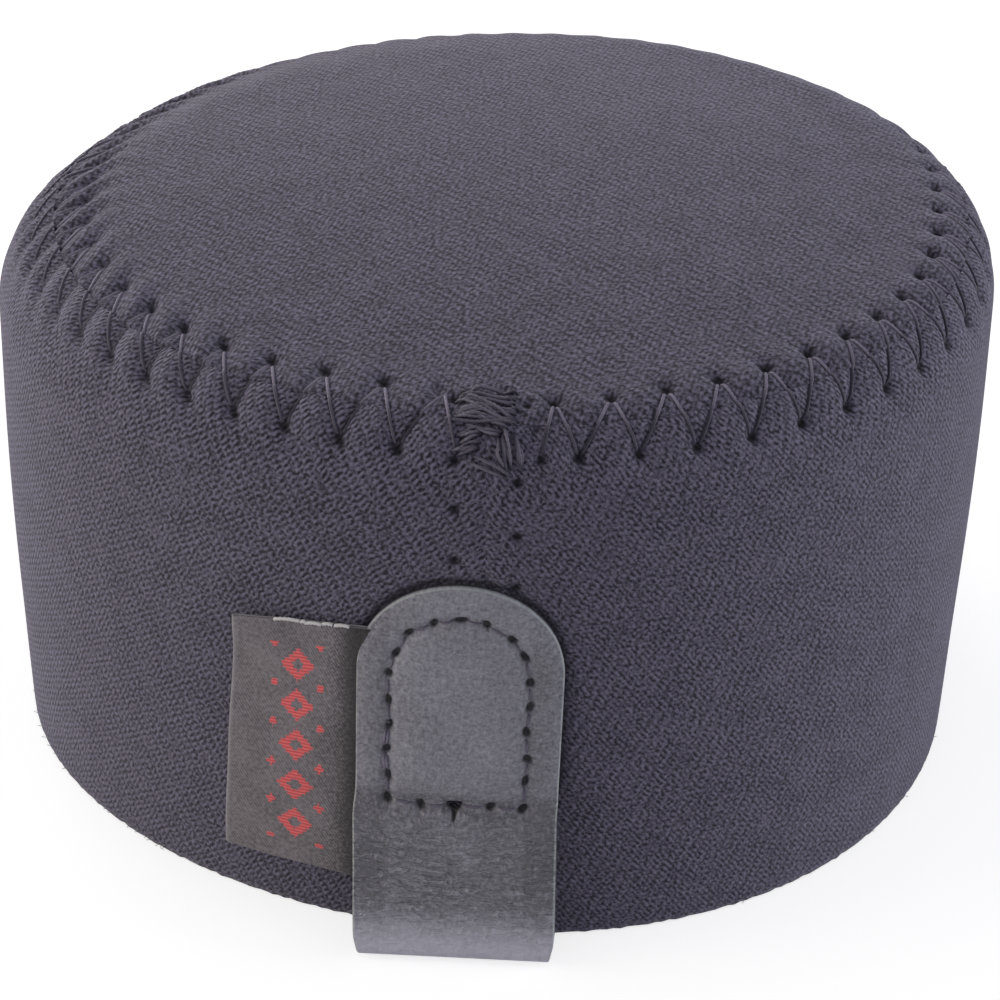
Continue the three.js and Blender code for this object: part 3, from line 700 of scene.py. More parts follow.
def grained_strap(name, colour):
    """Split leather or its like: pebbles from a cell pattern, and fine creases across the free fold, which is
    darker than the sewn part. It is darkest at the row of stitches and just under it. Its cut edges get a
    painted highlight in front and painted shade behind, a lighter band of painted reflection of the floor runs
    where it is folded, and its needle holes get painted shade."""
    f = Finish(name)
    flat, u, v = f.cloth()
    pebbles = f.node("ShaderNodeTexVoronoi", {"Vector": flat, "Scale": 2100.0, "Smoothness": 0.6,
                                              "Randomness": 1.0}, feature="SMOOTH_F1")
    fine = f.noise(flat, 3600, 3.0, 0.6)
    patch = f.noise(flat, 130, 3.0, 0.55)
    speck = f.noise(flat, 1900, 2.0, 0.7)
    crease = f.noise(f.drawn_out(flat, (560.0, 1500.0, 1.0)), 1.0, 2.5, 0.55, 0.7)
    crease = (1.0 - abs((crease - 0.54) * 8.0)).clamped()
    free = v.smooth(1 * MM, 7 * MM) * (v + f.noise(flat, 160) * (8 * MM)).smooth(23 * MM, 13 * MM)
    crease = crease ** 1.5 * (free * 0.9 + 0.1)
    margin = abs(u).smooth(5.9 * MM, 6.6 * MM)
    below = v.smooth(12.5 * MM, 15.5 * MM) * v.smooth(17.3 * MM, 16.4 * MM)
    # the creases are real folds in the bump, and are also painted lighter as painted highlights on their ridges
    tone = patch * 0.8 + fine * 0.2 + crease * 0.6 - free * 0.27 - margin * 0.2 - below * 0.2
    tone = (tone + (fine - 0.5) * 1.2 + (speck - 0.5) * 1.3).clamped()
    base = f.mix(tone, toned(colour, 0.5), toned(colour, 1.55))
    # painted reflection of the floor: a lighter band where the strap is folded, with painted highlights along
    # its creases
    fold = abs(v).smooth(7.5 * MM, 0.3 * MM) ** 1.8
    base = f.mix((fold * (crease * 1.4 + 0.72)).clamped(), base, toned(colour, 2.75))
    # painted shade on the back of the cut edges, and a painted highlight on the front leaf's outer edge
    edge = f.mark("edge")
    base = f.mix(edge.smooth(0.0, -0.5), base, (0.03, 0.03, 0.036))
    light = edge.smooth(0.1, 0.9) * f.noise(flat, 500).smooth(0.25, 0.5)
    base = f.mix(light * 0.8, base, (0.4, 0.43, 0.45))
    height = pebbles * 0.55 + fine * 0.35 + speck * 0.6 + crease * 1.3
    # painted shade in the needle holes and the notch
    return f.done(Base_Color=f.mix(f.mark("hole").smooth(0.25, 0.7), base, (0.012, 0.011, 0.016)),
                  Roughness=fine * 0.2 + 0.42, Specular_IOR_Level=0.42, Sheen_Weight=0.08,
                  Sheen_Roughness=0.5, Normal=f.bump(height, 0.16 * MM, 1.0))


def woven_label(name, colour, motif, lozenge):
    """Satin ribbon with a column of lozenges and small dots between them, woven with weft ribs. A lozenge is
    where the distances from its middle, each as a share of its half width or half height, add up to less than
    one. The ground is stippled towards the strap, and darkened close to it by a painted shadow of the strap."""
    f = Finish(name)
    flat, u, v = f.cloth()
    wobble = (f.noise(flat, 1500) - 0.5) * 0.5 * MM
    across = abs(u + wobble - MOTIF_MIDDLE)
    steps = ((v / WEFT).whole() * WEFT - LABEL_HEIGHT / 2) / MOTIF_STEP  # by whole weft threads
    along = abs(steps - steps.whole()) * MOTIF_STEP
    shape = across / lozenge + along / (1.75 * MM)
    dots = abs(across - 2.3 * MM) / (0.5 * MM) + (MOTIF_STEP / 2 - along) / (0.5 * MM)
    within = abs(v - LABEL_HEIGHT / 2).smooth(11.2 * MM, 11.0 * MM)
    red = (shape.smooth(1.05, 0.95) * shape.smooth(0.36, 0.46)).most(dots.smooth(1.1, 0.9)) * within
    ribs = ((v / WEFT).pingpong(0.5) * np.pi).sin()
    twill = (((u + v * 0.6) / (0.3 * MM)).pingpong(0.5) * np.pi).sin()
    fibre = f.noise(flat, 4200, 2.0, 0.6)
    tone = (twill * 0.5 + fibre * 0.6).clamped() + (f.noise(flat, 250, 3.0) - 0.5)
    tone = (tone + (f.noise(flat, 2600, 1.0) - 0.5) * 1.4).clamped()
    ground = f.mix(tone, toned(colour, 0.45), toned(colour, 1.55))
    stipple_and_shadow = (f.noise(flat, 3300, 1.0) + twill * 0.12).smooth(0.46, 0.72, 0.5, 1.25)
    # painted shadow of the strap: close to it the stipple drops to a tenth
    stipple_and_shadow = stipple_and_shadow * u.smooth(9.6 * MM, 12.7 * MM, 1.0, 0.1)
    shaded = f.node("ShaderNodeVectorMath", {"Vector": ground, "Scale": stipple_and_shadow}, operation="SCALE")
    ground = f.mix(u.smooth(7.5 * MM, 11.5 * MM, 0.0, 0.95), ground, shaded)
    reds = f.mix((ribs * 0.75 + fibre * 0.45).clamped(), toned(motif, 0.6), toned(motif, 1.3, 0.1))
    rim = abs(u).smooth(0.75 * MM, 0.1 * MM).most(f.mark("edge") * 0.9)
    return f.done(Base_Color=f.mix(rim * 0.55, f.mix(red, ground, reds), (0.33, 0.32, 0.35)),
                  Roughness=fibre * 0.2 + 0.5, Specular_IOR_Level=0.35, Sheen_Weight=0.15,
                  Sheen_Roughness=0.4, Normal=f.bump((ribs + twill) * 0.3 + red * 0.5, 0.05 * MM, 0.8))


def sewing_thread(name, colour):
    """Spun thread: fine fibres run along it, and its shade mark darkens it with painted shade, most where it
    sinks into the fabric.
    """
    f = Finish(name)
    fibre = f.noise(f.drawn_out(f.cloth()[0], (1500.0, 9000.0, 1.0)), 1.0, 2.0, 0.6)
    base = f.mix(fibre, toned(colour, 0.6), toned(colour, 1.5))
    return f.done(Base_Color=f.mix(f.mark("shade"), base, toned(colour, (0.1, 0.1, 0.14))),
                  Roughness=0.5, Specular_IOR_Level=0.4, Sheen_Weight=0.3, Sheen_Roughness=0.4,
                  Sheen_Tint=(0.84, 0.8, 1.0), Normal=f.bump(fibre, 0.03 * MM, 0.6))


def foam_rubber(name):
    """Closed-cell foam: small dark pores in a matt grey."""
    f = Finish(name)
    at = f.node("ShaderNodeTexCoord", {}, "Object")
    pores = f.node("ShaderNodeTexVoronoi", {"Vector": at, "Scale": 2600.0, "Randomness": 1.0})
    pores = pores.smooth(0.15, 0.5)
    base = f.mix(pores, (0.008, 0.008, 0.009), (0.034, 0.034, 0.037))
    return f.done(Base_Color=f.mix(f.noise(at, 300, 3.0) * 0.4, base, (0.022, 0.022, 0.024)),
                  Roughness=0.92, Specular_IOR_Level=0.2, Normal=f.bump(pores, 0.12 * MM, 0.9))


def disc_board(name):
    """Grey plastic board with a fine pebbled face and a few scuffs."""
    f = Finish(name)
    at = f.node("ShaderNodeTexCoord", {}, "Object")
    pebble = f.noise(at, 2200, 3.0, 0.55)
    scuff = f.noise(f.drawn_out(at, (60.0, 900.0, 60.0), (0.0, 0.0, 0.6)), 1.0, 3.0).smooth(0.62, 0.75)
    base = f.mix(pebble, (0.022, 0.023, 0.026), (0.04, 0.041, 0.045))
    return f.done(Base_Color=f.mix(scuff * 0.5, base, (0.08, 0.08, 0.085)), Roughness=pebble * 0.3 + 0.4,
                  Specular_IOR_Level=0.4, Normal=f.bump(pebble, 0.04 * MM, 0.5))


def finish(name, make, *given):
    """The material of that name, made if it isn't there yet."""
    return bpy.data.materials.get(name) or make(name, *given)


def add_thread(name, made, solid):
    """Adds sewing thread that stands for a solid."""
    thread = finish("sewing thread", sewing_thread, bpy.context.scene.lens_cap_colours.thread)
    piece(name, made, thread, replaced=[solid])


# Crown and wall


def crown_rows(count, step):
    """Rings of a crown panel from the seam to the middle: the first ones follow the seam, and the others
    shrink evenly towards the middle, with ever fewer points."""
    edge = BUTT_GAP / 2
    band_steps = np.linspace(edge, CROWN_BAND, int(round((CROWN_BAND - edge) / step)) + 1)
    rows = [(count, "band", t) for t in np.insert(band_steps, 1, edge + 0.04 * MM)]
    for share in np.linspace(1, 0, CROWN_RINGS)[1:-1]:
        wanted = count
        while wanted > STITCHES and TAU * CROWN_INSIDE * share < wanted * CROWN_SPACING:
            wanted //= 2
        last = rows[-1][0]
        rows.append((max(wanted, last // 2) if wanted < last else last, "inner", share))
    return rows


def crown_layer(count, step, top, bottom):
    """One closed layer of the crown, from its top face round the seam's edge to its underside. top and
    bottom give the depth under the plain outside for a radius. A ring is a distance in from the seam, or a
    share of the radius that is left inside the band. On the flat panel each point keeps its azimuth and its
    distance from the middle."""
    edge = BUTT_GAP / 2
    rows = ([(1, "inner", 0.0, top)] + [(*row, top) for row in reversed(crown_rows(count, step))]
            + [(count // 2, "band", edge - 0.05 * MM, None), (count // 4, "band", edge, bottom)]
            + [(*row, bottom) for row in crown_rows(count // 4, step * 4)[1:]] + [(1, "inner", 0.0, bottom)])

    def place(azimuth, kind, number, depth):
        seam = rim_seam(azimuth)
        s = seam + number if kind == "band" else CROWN_MIDDLE - number * (CROWN_MIDDLE - seam - CROWN_BAND)
        reach = CROWN_MIDDLE - s
        under = (top(reach) + bottom(reach)) / 2 if depth is None else depth(reach)
        out, hole = relief(azimuth, s)
        cloth = np.stack([reach * np.sin(azimuth), -reach * np.cos(azimuth)], -1)
        return skin(azimuth, s, layer_out(out, under) - under), cloth, hole

    return stacked(rows, place)


def wall_layer(count, low_step, high_step, top, bottom, hem, ragged=0.0):
    """One closed layer of the wall, from the hem up its outside, over the seam's edge and down its inside.
    Its rows are closer near the rim seam, where the stitches are. On the flat strip a place is the distance
    round from the closing seam, and the distance up from the hem."""
    high = RIM_SEAM - WALL_LOW
    lows = np.linspace(0, 1, int(WALL_LOW / low_step) + 1)
    highs = np.linspace(0, 1, int(high / high_step) + 1)[1:]
    highs = np.insert(highs, -1, 1 - 0.04 * MM / high)
    rows = [(count // 2, "low", t, top) for t in lows] + [(count, "high", t, top) for t in highs]
    rows.append((count // 2, "high", 1.0, (top + bottom) / 2))
    rows += [(count // 4, "high", t, bottom) for t in np.linspace(1, 0, 12)[:-1]]
    rows += [(count // 4, "low", t, bottom) for t in np.linspace(1, 0, 12)]

    def place(azimuth, kind, t, depth):
        end = rim_seam(azimuth) - BUTT_GAP / 2
        s = WALL_LOW * t + 0 * azimuth if kind == "low" else WALL_LOW + (end - WALL_LOW) * t
        out, hole = relief(azimuth, s)
        points = skin(azimuth, s, layer_out(out, depth) - depth)
        notch = ragged * (np.sin(97 * azimuth) + np.sin(161 * azimuth + 1) + np.sin(233 * azimuth + 2)) / 3
        points[..., 2] += (hem + notch) * fade(1.5 * MM - s, 0, 1.5 * MM)
        return points, np.stack([(azimuth - CLOSING_SEAM) * RIM_RADIUS, s], -1), hole

    return stacked(rows, place, closed=True)


def even(depth):
    """A layer's depth that is the same at every radius."""
    return lambda reach: 0 * reach + depth


def lining_depth(reach):
    """The lining's depth: it lies on the foam, and inside the pocket it goes under the disc, over a ramp."""
    return LINING_TOP + DISC_DEPTH * fade(POCKET_RADIUS - reach, 0, POCKET_RAMP)


class LENSCAP_OT_crown(bpy.types.Operator):
    """Makes the crown's two fabrics, its foam and the finish of its disc"""
    bl_idname = "lens_cap.crown"
    bl_label = "Crown"

    def execute(self, context):
        colours = context.scene.lens_cap_colours
        face = piece("crown_fabric", crown_layer(FINE, 0.36 * MM, even(0.0), even(FACE)),
                     finish("crown jersey", jersey, colours.face, CROWN_BIAS),
                     replaced=["crown_face"])
        foam = piece("crown_foam_pad", crown_layer(FINE // 4, 1.2 * MM, even(FOAM_TOP), even(FOAM_BOTTOM)),
                     finish("foam rubber", foam_rubber), replaced=["crown_foam"])
        lining = piece("crown_lining_fabric",
                       crown_layer(FINE // 2, 0.7 * MM, lining_depth, lambda r: lining_depth(r) + LINING),
                       finish("lining jersey", jersey, colours.lining, 0.0, 0.25),
                       replaced=["crown_lining"])
        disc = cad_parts["crown_disc"].data.materials
        disc.clear()
        disc.append(finish("disc board", disc_board))
        return {"FINISHED"}


def lint(count=36):
    """Short bent fibres at the hem: each leaves the cut edge outwards and down, and curls by a seeded
    amount."""
    rng = np.random.default_rng(4)
    azimuth = np.concatenate([rng.uniform(-1.75, -0.75, count // 2), rng.uniform(-np.pi, np.pi, count // 2)])
    length = rng.uniform(0.15, 0.45, count) * MM
    t = np.linspace(0, 1, 5)[:, None]
    fibres = []
    for at, long, (rise, swing) in zip(azimuth, length, rng.normal(0, 0.7, (count, 2))):
        outward = np.array([np.sin(at), -np.cos(at), 0.0])
        curl = np.array([np.cos(at) * swing, np.sin(at) * swing, 0.25 * rise])
        path = skin(at, 0.25 * MM, -0.05 * MM) + long * (t * outward + t ** 2 * curl)
        path[:, 2] = np.maximum(path[:, 2], 0.08 * MM)
        fibres.append(tube(path, np.tile([[0.1, 0.1, 1.0]], (5, 1)), 0.03 * MM, 3, 0.0, depth=0))
    return together(fibres)


class LENSCAP_OT_wall(bpy.types.Operator):
    """Makes the wall's two fabrics and its foam, and the lint at its cut edge"""
    bl_idname = "lens_cap.wall"
    bl_label = "Wall"

    def execute(self, context):
        colours = context.scene.lens_cap_colours
        face = piece("wall_fabric", wall_layer(FINE, 0.75 * MM, 0.42 * MM, 0.0, FACE, HEM_TRIM, 0.12 * MM),
                     finish("wall jersey", jersey, colours.face), replaced=["wall_face"])
        foam = piece("wall_foam_pad", wall_layer(FINE // 2, 1.2 * MM, 1.2 * MM, FOAM_TOP, FOAM_BOTTOM, 0.0),
                     finish("foam rubber", foam_rubber), replaced=["wall_foam"])
        lining = piece("wall_lining_fabric",
                       wall_layer(FINE // 2, 2 * MM, 0.8 * MM, LINING_TOP, LAMINATE, HEM_TRIM, 0.1 * MM),
                       finish("lining jersey", jersey, colours.lining, 0.0, 0.25),
                       replaced=["wall_lining"])
        piece("hem_lint", lint(), finish("lint", sewing_thread, (0.05, 0.047, 0.06)))
        return {"FINISHED"}


# Threads


def stitched(holes, place, samples, rise, dive, length):
    """The path of a thread that runs straight from hole to hole, at a height above the fabric, and dives
    into each hole along a bell curve. rise may differ from leg to leg, and length is a leg's. place(a, b,
    height) gives the points. Returns them, the way up at each, and their places on the flat fabric."""
    share = np.arange(samples) / samples
    rise = np.broadcast_to(rise, len(holes) - 1)
    legs = holes[:-1, None] + share[:, None] * (holes[1:] - holes[:-1])[:, None]
    flat = np.concatenate([legs.reshape(-1, 2), holes[-1:]])
    near = np.append(np.tile(np.minimum(share, 1 - share), len(holes) - 1), 0) * length
    height = np.append(np.repeat(rise, samples), rise[-1]) - dive * bell(near, 0.5 * MM)
    points = place(*flat.T, height)
    return points, place(*flat.T, height + 1 * MM) - points, flat


def on_fabric(azimuth, s, height):
    """Points at a height above the sewn fabric outside."""
    return skin(azimuth, s, relief(azimuth, s)[0] + height)


def under_lining(azimuth, s, height):
    """Points at a height off the lining, inside the cap."""
    return skin(azimuth, s, layer_out(relief(azimuth, s)[0], LAMINATE) - LAMINATE - height)


def rim_thread(place, samples, rise, sunk, dive, sides, depth):
    """A thread of the rim seam: it runs from upper to lower hole in turn, all the way round from right of the
    tack to left of it. v is the height across the seam. On the left, the legs up from a lower hole are sunk
    deeper. Painted shade darkens the lower half of each leg, and more so the legs up from a lower hole."""
    def on_seam(azimuth, v, height):
        return place(azimuth, rim_seam(azimuth) + v * (STITCH_WIDTH + seam_lift(azimuth)) / 2, height)

    lower = STITCH_START + np.arange(2, STITCHES + 1) * STITCH_STEP
    zigzag = np.stack([lower + hole_shift(lower), np.ones_like(lower), lower, -np.ones_like(lower)], 1)
    holes = np.concatenate([[[FIRST_HOLE, -1.0]], zigzag.reshape(-1, 2)])
    up_next = holes[:-1, 1] < 0
    left = fade(-round_from(holes[:-1, 0], 0) * np.sign(np.cos(holes[:-1, 0])), 0, 0.3)
    path, up, flat = stitched(holes, on_seam, samples, rise - sunk * left * up_next, dive, 7 * MM)
    # painted shade on the lower half of each leg and on the legs up from a lower hole
    shade = 0.75 * fade(0.45 - flat[:, 1], 0, 0.8) + 0.22 * np.append(np.repeat(up_next, samples), False)
    return tube(path, up, THREAD / 2, sides, shade, depth=depth)


def closing_holes():
    """Needle holes of the closing seam: azimuth and s, right and left in turn, from the rim seam down."""
    k = np.arange(int((CLOSING_TOP - CLOSING_END) / (CLOSING_LENGTH / 2)) + 1)
    azimuth = CLOSING_SEAM + np.where(k % 2 == 0, 1, -1) * CLOSING_WIDTH / 2 / RIM_RADIUS
    return np.stack([azimuth, CLOSING_TOP - k * CLOSING_LENGTH / 2], 1)


def tack_threads():
    """The tack: close runs across the closing seam, then looser groups below. Each run is an arch from hole
    to hole: its height is a half sine with a slow wave on it, and its ends dive into the fabric. A seeded
    scatter moves the ends and bends the runs."""
    rng = np.random.default_rng(9)
    # (across and s of one end, of the other, runs, how far the runs spread across and up), in millimetres
    groups = [
        (-3.3, 53.7, 3.1, 53.5, 14, 0.0, 4.0), (-3.1, 56.0, 2.3, 53.3, 5, 0.4, 0.9),
        (0.6, 53.1, 1.3, 49.2, 8, 2.0, 0.1), (-3.0, 51.9, -0.3, 52.7, 5, 0.4, 1.2),
        (-1.9, 50.3, 2.3, 48.6, 2, 0.3, 0.6), (-3.2, 50.6, -0.6, 51.4, 4, 0.5, 0.6),
        (-2.2, 53.4, 1.8, 52.4, 4, 0.2, 0.5),
    ]
    share = np.linspace(0, 1, 44)
    runs = []
    for x0, s0, x1, s1, count, wide, high in groups:
        for t in np.linspace(0, 1, count):
            shift = np.array([wide * t, high * t]) + rng.normal(0, 0.14, 2)
            a, b = (np.array(end) + shift + rng.normal(0, 0.16, 2) for end in ((x0, s0), (x1, s1)))
            bend = np.sin(share * np.pi)[:, None] * rng.normal(0, 0.2, 2)
            ripple = np.sin(share * rng.uniform(6, 11) + rng.uniform(0, 6))
            bend = bend + ripple[:, None] * rng.normal(0, 0.06, 2)
            flat = (a + share[:, None] * (b - a) + bend) * MM
            wave = 0.1 * np.sin(share * rng.uniform(5, 14) + rng.uniform(0, 6))
            lift = (0.02 + 0.3 * rng.random() + 0.3 * np.sin(np.pi * share) + wave) * MM
            near = np.minimum(share, 1 - share) * np.linalg.norm(b - a) * MM
            place = CLOSING_SEAM + flat[:, 0] / TACK_RADIUS, flat[:, 1]
            height = lift - 0.9 * MM * bell(near, 0.45 * MM)
            path = on_fabric(*place, height)
            up = on_fabric(*place, height + 1 * MM) - path
            # painted shade near each end, where the run dives into the fabric, on a seeded tone
            shade = np.clip(bell(near, 0.7 * MM) + rng.uniform(0.35, 0.7), 0, 1)
            runs.append(tube(path, up, THREAD * 0.46, 8, shade))
    return together(runs)


class LENSCAP_OT_seams(bpy.types.Operator):
    """Makes the zigzag threads of the rim seam and of the closing seam, and the tack between them"""
    bl_idname = "lens_cap.seams"
    bl_label = "Seams"

    def execute(self, context):
        add_thread("rim_zigzag", rim_thread(on_fabric, 50, 0.1 * MM, 0.17 * MM, 0.95 * MM, 10, 0.2),
                   "rim_needle_thread")
        add_thread("rim_zigzag_inside", rim_thread(under_lining, 18, 0.2 * MM, 0.0, 0.5 * MM, 8, 0.0),
                   "rim_bobbin_thread")
        for name, place, samples, rise, sides, solid in (
                ("closing_zigzag", on_fabric, 50, -0.1 * MM, 10, "closing_needle_thread"),
                ("closing_zigzag_inside", under_lining, 18, 0.1 * MM, 8, "closing_bobbin_thread")):
            path, up, _ = stitched(closing_holes(), place, samples, rise, 0.9 * MM, 6 * MM)
            add_thread(name, tube(path, up, THREAD / 2, sides, 0.55), solid)
        add_thread("rim_tack", tack_threads(), "rim_tack_thread")
        return {"FINISHED"}


# Pull tab


def tab_stitch_line(x, s):
    """Distance outside the line of stitches, which is a rectangle with a half round on top; less than
    nothing inside."""
    over, under = np.abs(x) - STITCH_HALF, STITCH_ROW - s
    box = np.hypot(np.maximum(over, 0), np.maximum(under, 0)) + np.minimum(np.maximum(over, under), 0)
    return np.where(s > STITCH_ROUND, np.hypot(x, s - STITCH_ROUND) - STITCH_HALF, box)


def tab_holes():
    """Needle holes round the tab: along the row, up the right side, over the round end and down the left
    side. Waves with the number of the hole make them a little uneven."""
    corners = np.array([(-STITCH_HALF, STITCH_ROW), (STITCH_HALF, STITCH_ROW), (STITCH_HALF, STITCH_ROUND),
                        (-STITCH_HALF, STITCH_ROUND)])

    def side(start, end, count):
        return corners[start] + np.arange(count)[:, None] / count * (corners[end] - corners[start])

    turn = np.arange(8) / 8 * np.pi
    arc = np.stack([STITCH_HALF * np.cos(turn), STITCH_ROUND + STITCH_HALF * np.sin(turn)], 1)
    holes = np.concatenate([side(0, 1, 4), side(1, 2, 5), arc, side(3, 0, 5), corners[:1]])
    k = np.arange(len(holes))[:, None]
    return holes + 0.13 * MM * np.sin(k * [2.4, 3.7] + [0.5, 1.9])


def strap_relief(x, s):
    """How far the strap's front stands off its plain form, and the painted shade of its needle holes and notch.
    The line of stitches is a groove, each hole a dent, the leather swells inside the line and thins towards its
    cut edge, and a small notch points down from the middle of the row."""
    line = tab_stitch_line(x, s)
    near = np.full(x.shape, 1.0)
    holes = tab_holes()[:-1]
    ahead = unit(np.roll(holes, -1, 0) - np.roll(holes, 1, 0))
    for k, ((hx, hs), (ax, a_s)) in enumerate(zip(holes, ahead)):
        wide = 0.85 + 0.2 * np.sin(2.3 * k)
        along, across = (x - hx) * ax + (s - hs) * a_s, (s - hs) * ax - (x - hx) * a_s
        across = across * (2.15 - wide) + 0.3 * np.sin(1.7 * k) * along
        near = np.minimum(near, np.hypot(along * wide, across))
    out = -0.22 * MM * bell(line, 0.5 * MM) + 0.28 * MM * fade(-line, 0, 3 * MM)
    thinned = fade(line, 1.9 * MM, 3.2 * MM) * fade(s, 15 * MM, 19 * MM)
    out -= 0.6 * MM * bell(near, 0.48 * MM) + 0.25 * MM * thinned
    drop = (STITCH_ROW - s) / (1.7 * MM)
    notch = fade(0.75 * MM * (1 - drop) - np.abs(x), 0, 0.4 * MM) * (drop > -0.2) * (drop < 1)
    return out - 0.4 * MM * notch, np.maximum(bell(near, 0.52 * MM), notch)


def strap_middle(x, s, out):
    """The strap's two leaves from the middle between them. Above the bend they follow the wall, and below
    it they hang on an arc that leans out more and more and lies flat across. s is the length along the
    strap."""
    sunk = sinking(s)
    sewn = skin(tab_azimuth(x * (1 + 1.2 * sunk / TAB_RADIUS), s), s, TAB_MIDDLE + out - sunk)
    share = np.clip((FLAP_TOP - s) / FLAP_LENGTH, 0, 1)
    lean = FLAP_LEAN * share
    round_arc = FLAP_LENGTH / FLAP_LEAN
    base = profile(np.array(TAB_BEND))[0] + TAB_MIDDLE
    reach = base + round_arc * (1 - np.cos(lean)) + out * np.cos(lean) - (1 - share) * x ** 2 / (2 * base)
    azimuth = tab_azimuth(0, FLAP_TOP)
    z = FLAP_TOP + (out - round_arc) * np.sin(lean) + np.maximum(s - FLAP_TOP, 0)
    free = np.stack([reach * np.sin(azimuth) + x * np.cos(azimuth),
                     AXIS_Y - reach * np.cos(azimuth) + x * np.sin(azimuth), z], -1)
    share = fade(s, 14.6 * MM, 17.0 * MM)[..., None]
    return sewn * share + free * (1 - share)


def strap_point(x, p, height):
    """A place on the strap and its hole mark of painted shade: x across, p along it from the fold, growing up
    the front, and a height off its middle."""
    turn = np.clip(np.pi / 2 - p / LEAF_OFF, 0, np.pi)
    s = STRAP_BOTTOM + np.maximum(np.abs(p) - FOLD_HALF, 0)
    rise, hole = strap_relief(x, s)
    front = (p > 0) * (height > 0)
    out = LEAF_OFF + height + rise * front
    narrow = 1 - 0.045 * bell(p, 1.3 * MM)
    azimuth = tab_azimuth(0, FLAP_TOP)
    down = np.append(np.sin(FLAP_LEAN) * np.array([np.sin(azimuth), -np.cos(azimuth)]), -np.cos(FLAP_LEAN))
    points = strap_middle(x * narrow, s, out * np.cos(turn)) + (out * np.sin(turn))[..., None] * down
    return points, hole * front


class LENSCAP_OT_tab(bpy.types.Operator):
    """Makes the pull tab from one folded strap, and the threads that sew it on"""
    bl_idname = "lens_cap.tab"
    bl_label = "Pull Tab"

    def execute(self, context):
        columns = np.linspace(-np.pi / 2, np.pi / 2, 73)
        rows = np.concatenate([np.linspace(-1, -0.1, 56)[:-1], np.linspace(-0.1, 1, 170)])

        def plan(inset):
            radius = TAB_WIDTH / 2 - inset
            x, w = np.meshgrid(radius * np.sin(columns), rows)
            return x, w * (STRAP_HALF - TAB_WIDTH / 2 + radius * np.cos(columns))

        faces, flat, height, edge = slab(plan, TAB_LEAF / 2, TAB_EDGE)
        points, hole = strap_point(*flat.T, height)
        # painted highlight on the front leaf's outer edge, and painted shade on the rest of the edges
        light = np.where(flat[:, 1] > -FOLD_HALF, np.clip((height - 0.2 * MM) / (0.25 * MM), -1, 1), -1)
        strap = piece("pull_tab_strap", (points, faces, flat, {"hole": hole, "edge": edge * light}),
                      finish("strap leather", grained_strap, context.scene.lens_cap_colours.strap),
                      body=None, replaced=["tab_back_leaf", "tab_front_leaf", "tab_free_fold"])
        start, end = strap_middle(np.zeros(2), TAB_HINGE, np.zeros(2))
        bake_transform(strap)

        def front(x, s, height):
            return strap_point(x, s - STRAP_BOTTOM + FOLD_HALF, TAB_LEAF / 2 + height)[0]

        def back(x, s, height):
            return under_lining(tab_azimuth(x, s), s, height)

        def sewn(line, place, samples, rise, dive, shade=0.45):
            path, up, _ = stitched(line, place, samples, rise, dive, 2.7 * MM)
            near = off_whole(np.arange(len(path)) / samples)
            # painted shade where the thread dives into its holes
            return tube(path, up, THREAD * 0.45, 8, shade + (1 - shade) * bell(near, 0.28))

        holes = tab_holes()
        again = np.concatenate([holes[-2:-5:-1], holes[-4:-1] + [-0.25 * MM, 0.1 * MM], holes[-3:-4:-1]])
        needle = together([sewn(holes, front, 22, 0.02 * MM, 1.1 * MM),
                           sewn(again, front, 22, 0.12 * MM, 1.1 * MM, 0.1)])
        add_thread("tab_stitches", needle, "tab_needle_thread")
        add_thread("tab_stitches_inside", sewn(holes, back, 12, 0.25 * MM, 0.3 * MM), "tab_bobbin_thread")
        return {"FINISHED"}


# Label


def label_point(p, b, height):
    """A place on the label: p along the ribbon from its fold, growing over the front, b up from its lower
    edge, and a height off its middle. The ribbon lifts off the wall with the square of its share of the way
    to the fold, ripples a little, and leans so that its fold is further left at the bottom."""
    turn = np.clip(np.pi / 2 - p / LABEL_OFF, 0, np.pi)
    along = np.maximum(np.abs(p) - LABEL_FOLD, 0)
    out = LABEL_OFF + height
    share = np.clip((LABEL_SHOWING - along) / LABEL_SHOWING, 0, 1)
    s = LABEL_BOTTOM + LABEL_HEIGHT / 2 + (b - LABEL_HEIGHT / 2) * (1.04 - 0.057 * share)
    lean = 0.087 * share * (b - 0.77 * LABEL_HEIGHT)
    across = -TAB_WIDTH / 2 - LABEL_SHOWING + LABEL_OFF + LABEL_LEAF / 2 + along - out * np.sin(turn) + lean
    wave = (0.1 * np.sin(b / (4.2 * MM)) + 0.06 * np.sin(b / (1.9 * MM) + along / (2 * MM))) * MM
    off = LABEL_MIDDLE + LABEL_LIFT * share ** 2 + wave * fade(share, 0.1, 0.7) + out * np.cos(turn)
    off = off + 0.35 * MM * fade(b, LABEL_HEIGHT - 4 * MM, LABEL_HEIGHT) * share ** 3
    azimuth = tab_azimuth(across, s)
    return skin(azimuth, s, off - press(azimuth, s))


def loose_ends():
    """Pale ends of weft thread along the label's top edge: short arcs that lie on the cut edge."""
    rng = np.random.default_rng(3)
    t = np.linspace(0, 1, 14)
    ends = []
    for start, length in ((4.2, 2.6), (7.3, 1.7), (9.1, 1.0), (10.3, 1.5), (6.9, 0.5)):
        p = (start + length * t) * MM
        rise = LABEL_HEIGHT + (0.02 + 0.1 * np.sin(np.pi * t) + 0.03 * rng.normal(0, 1)) * MM
        path = label_point(p, rise, LABEL_LEAF * 0.35)
        up = label_point(p, rise + 1 * MM, LABEL_LEAF * 0.35) - path
        ends.append(tube(path, up, 0.16 * MM, 8, 0.0, twist=0.7 * MM))
    return together(ends)


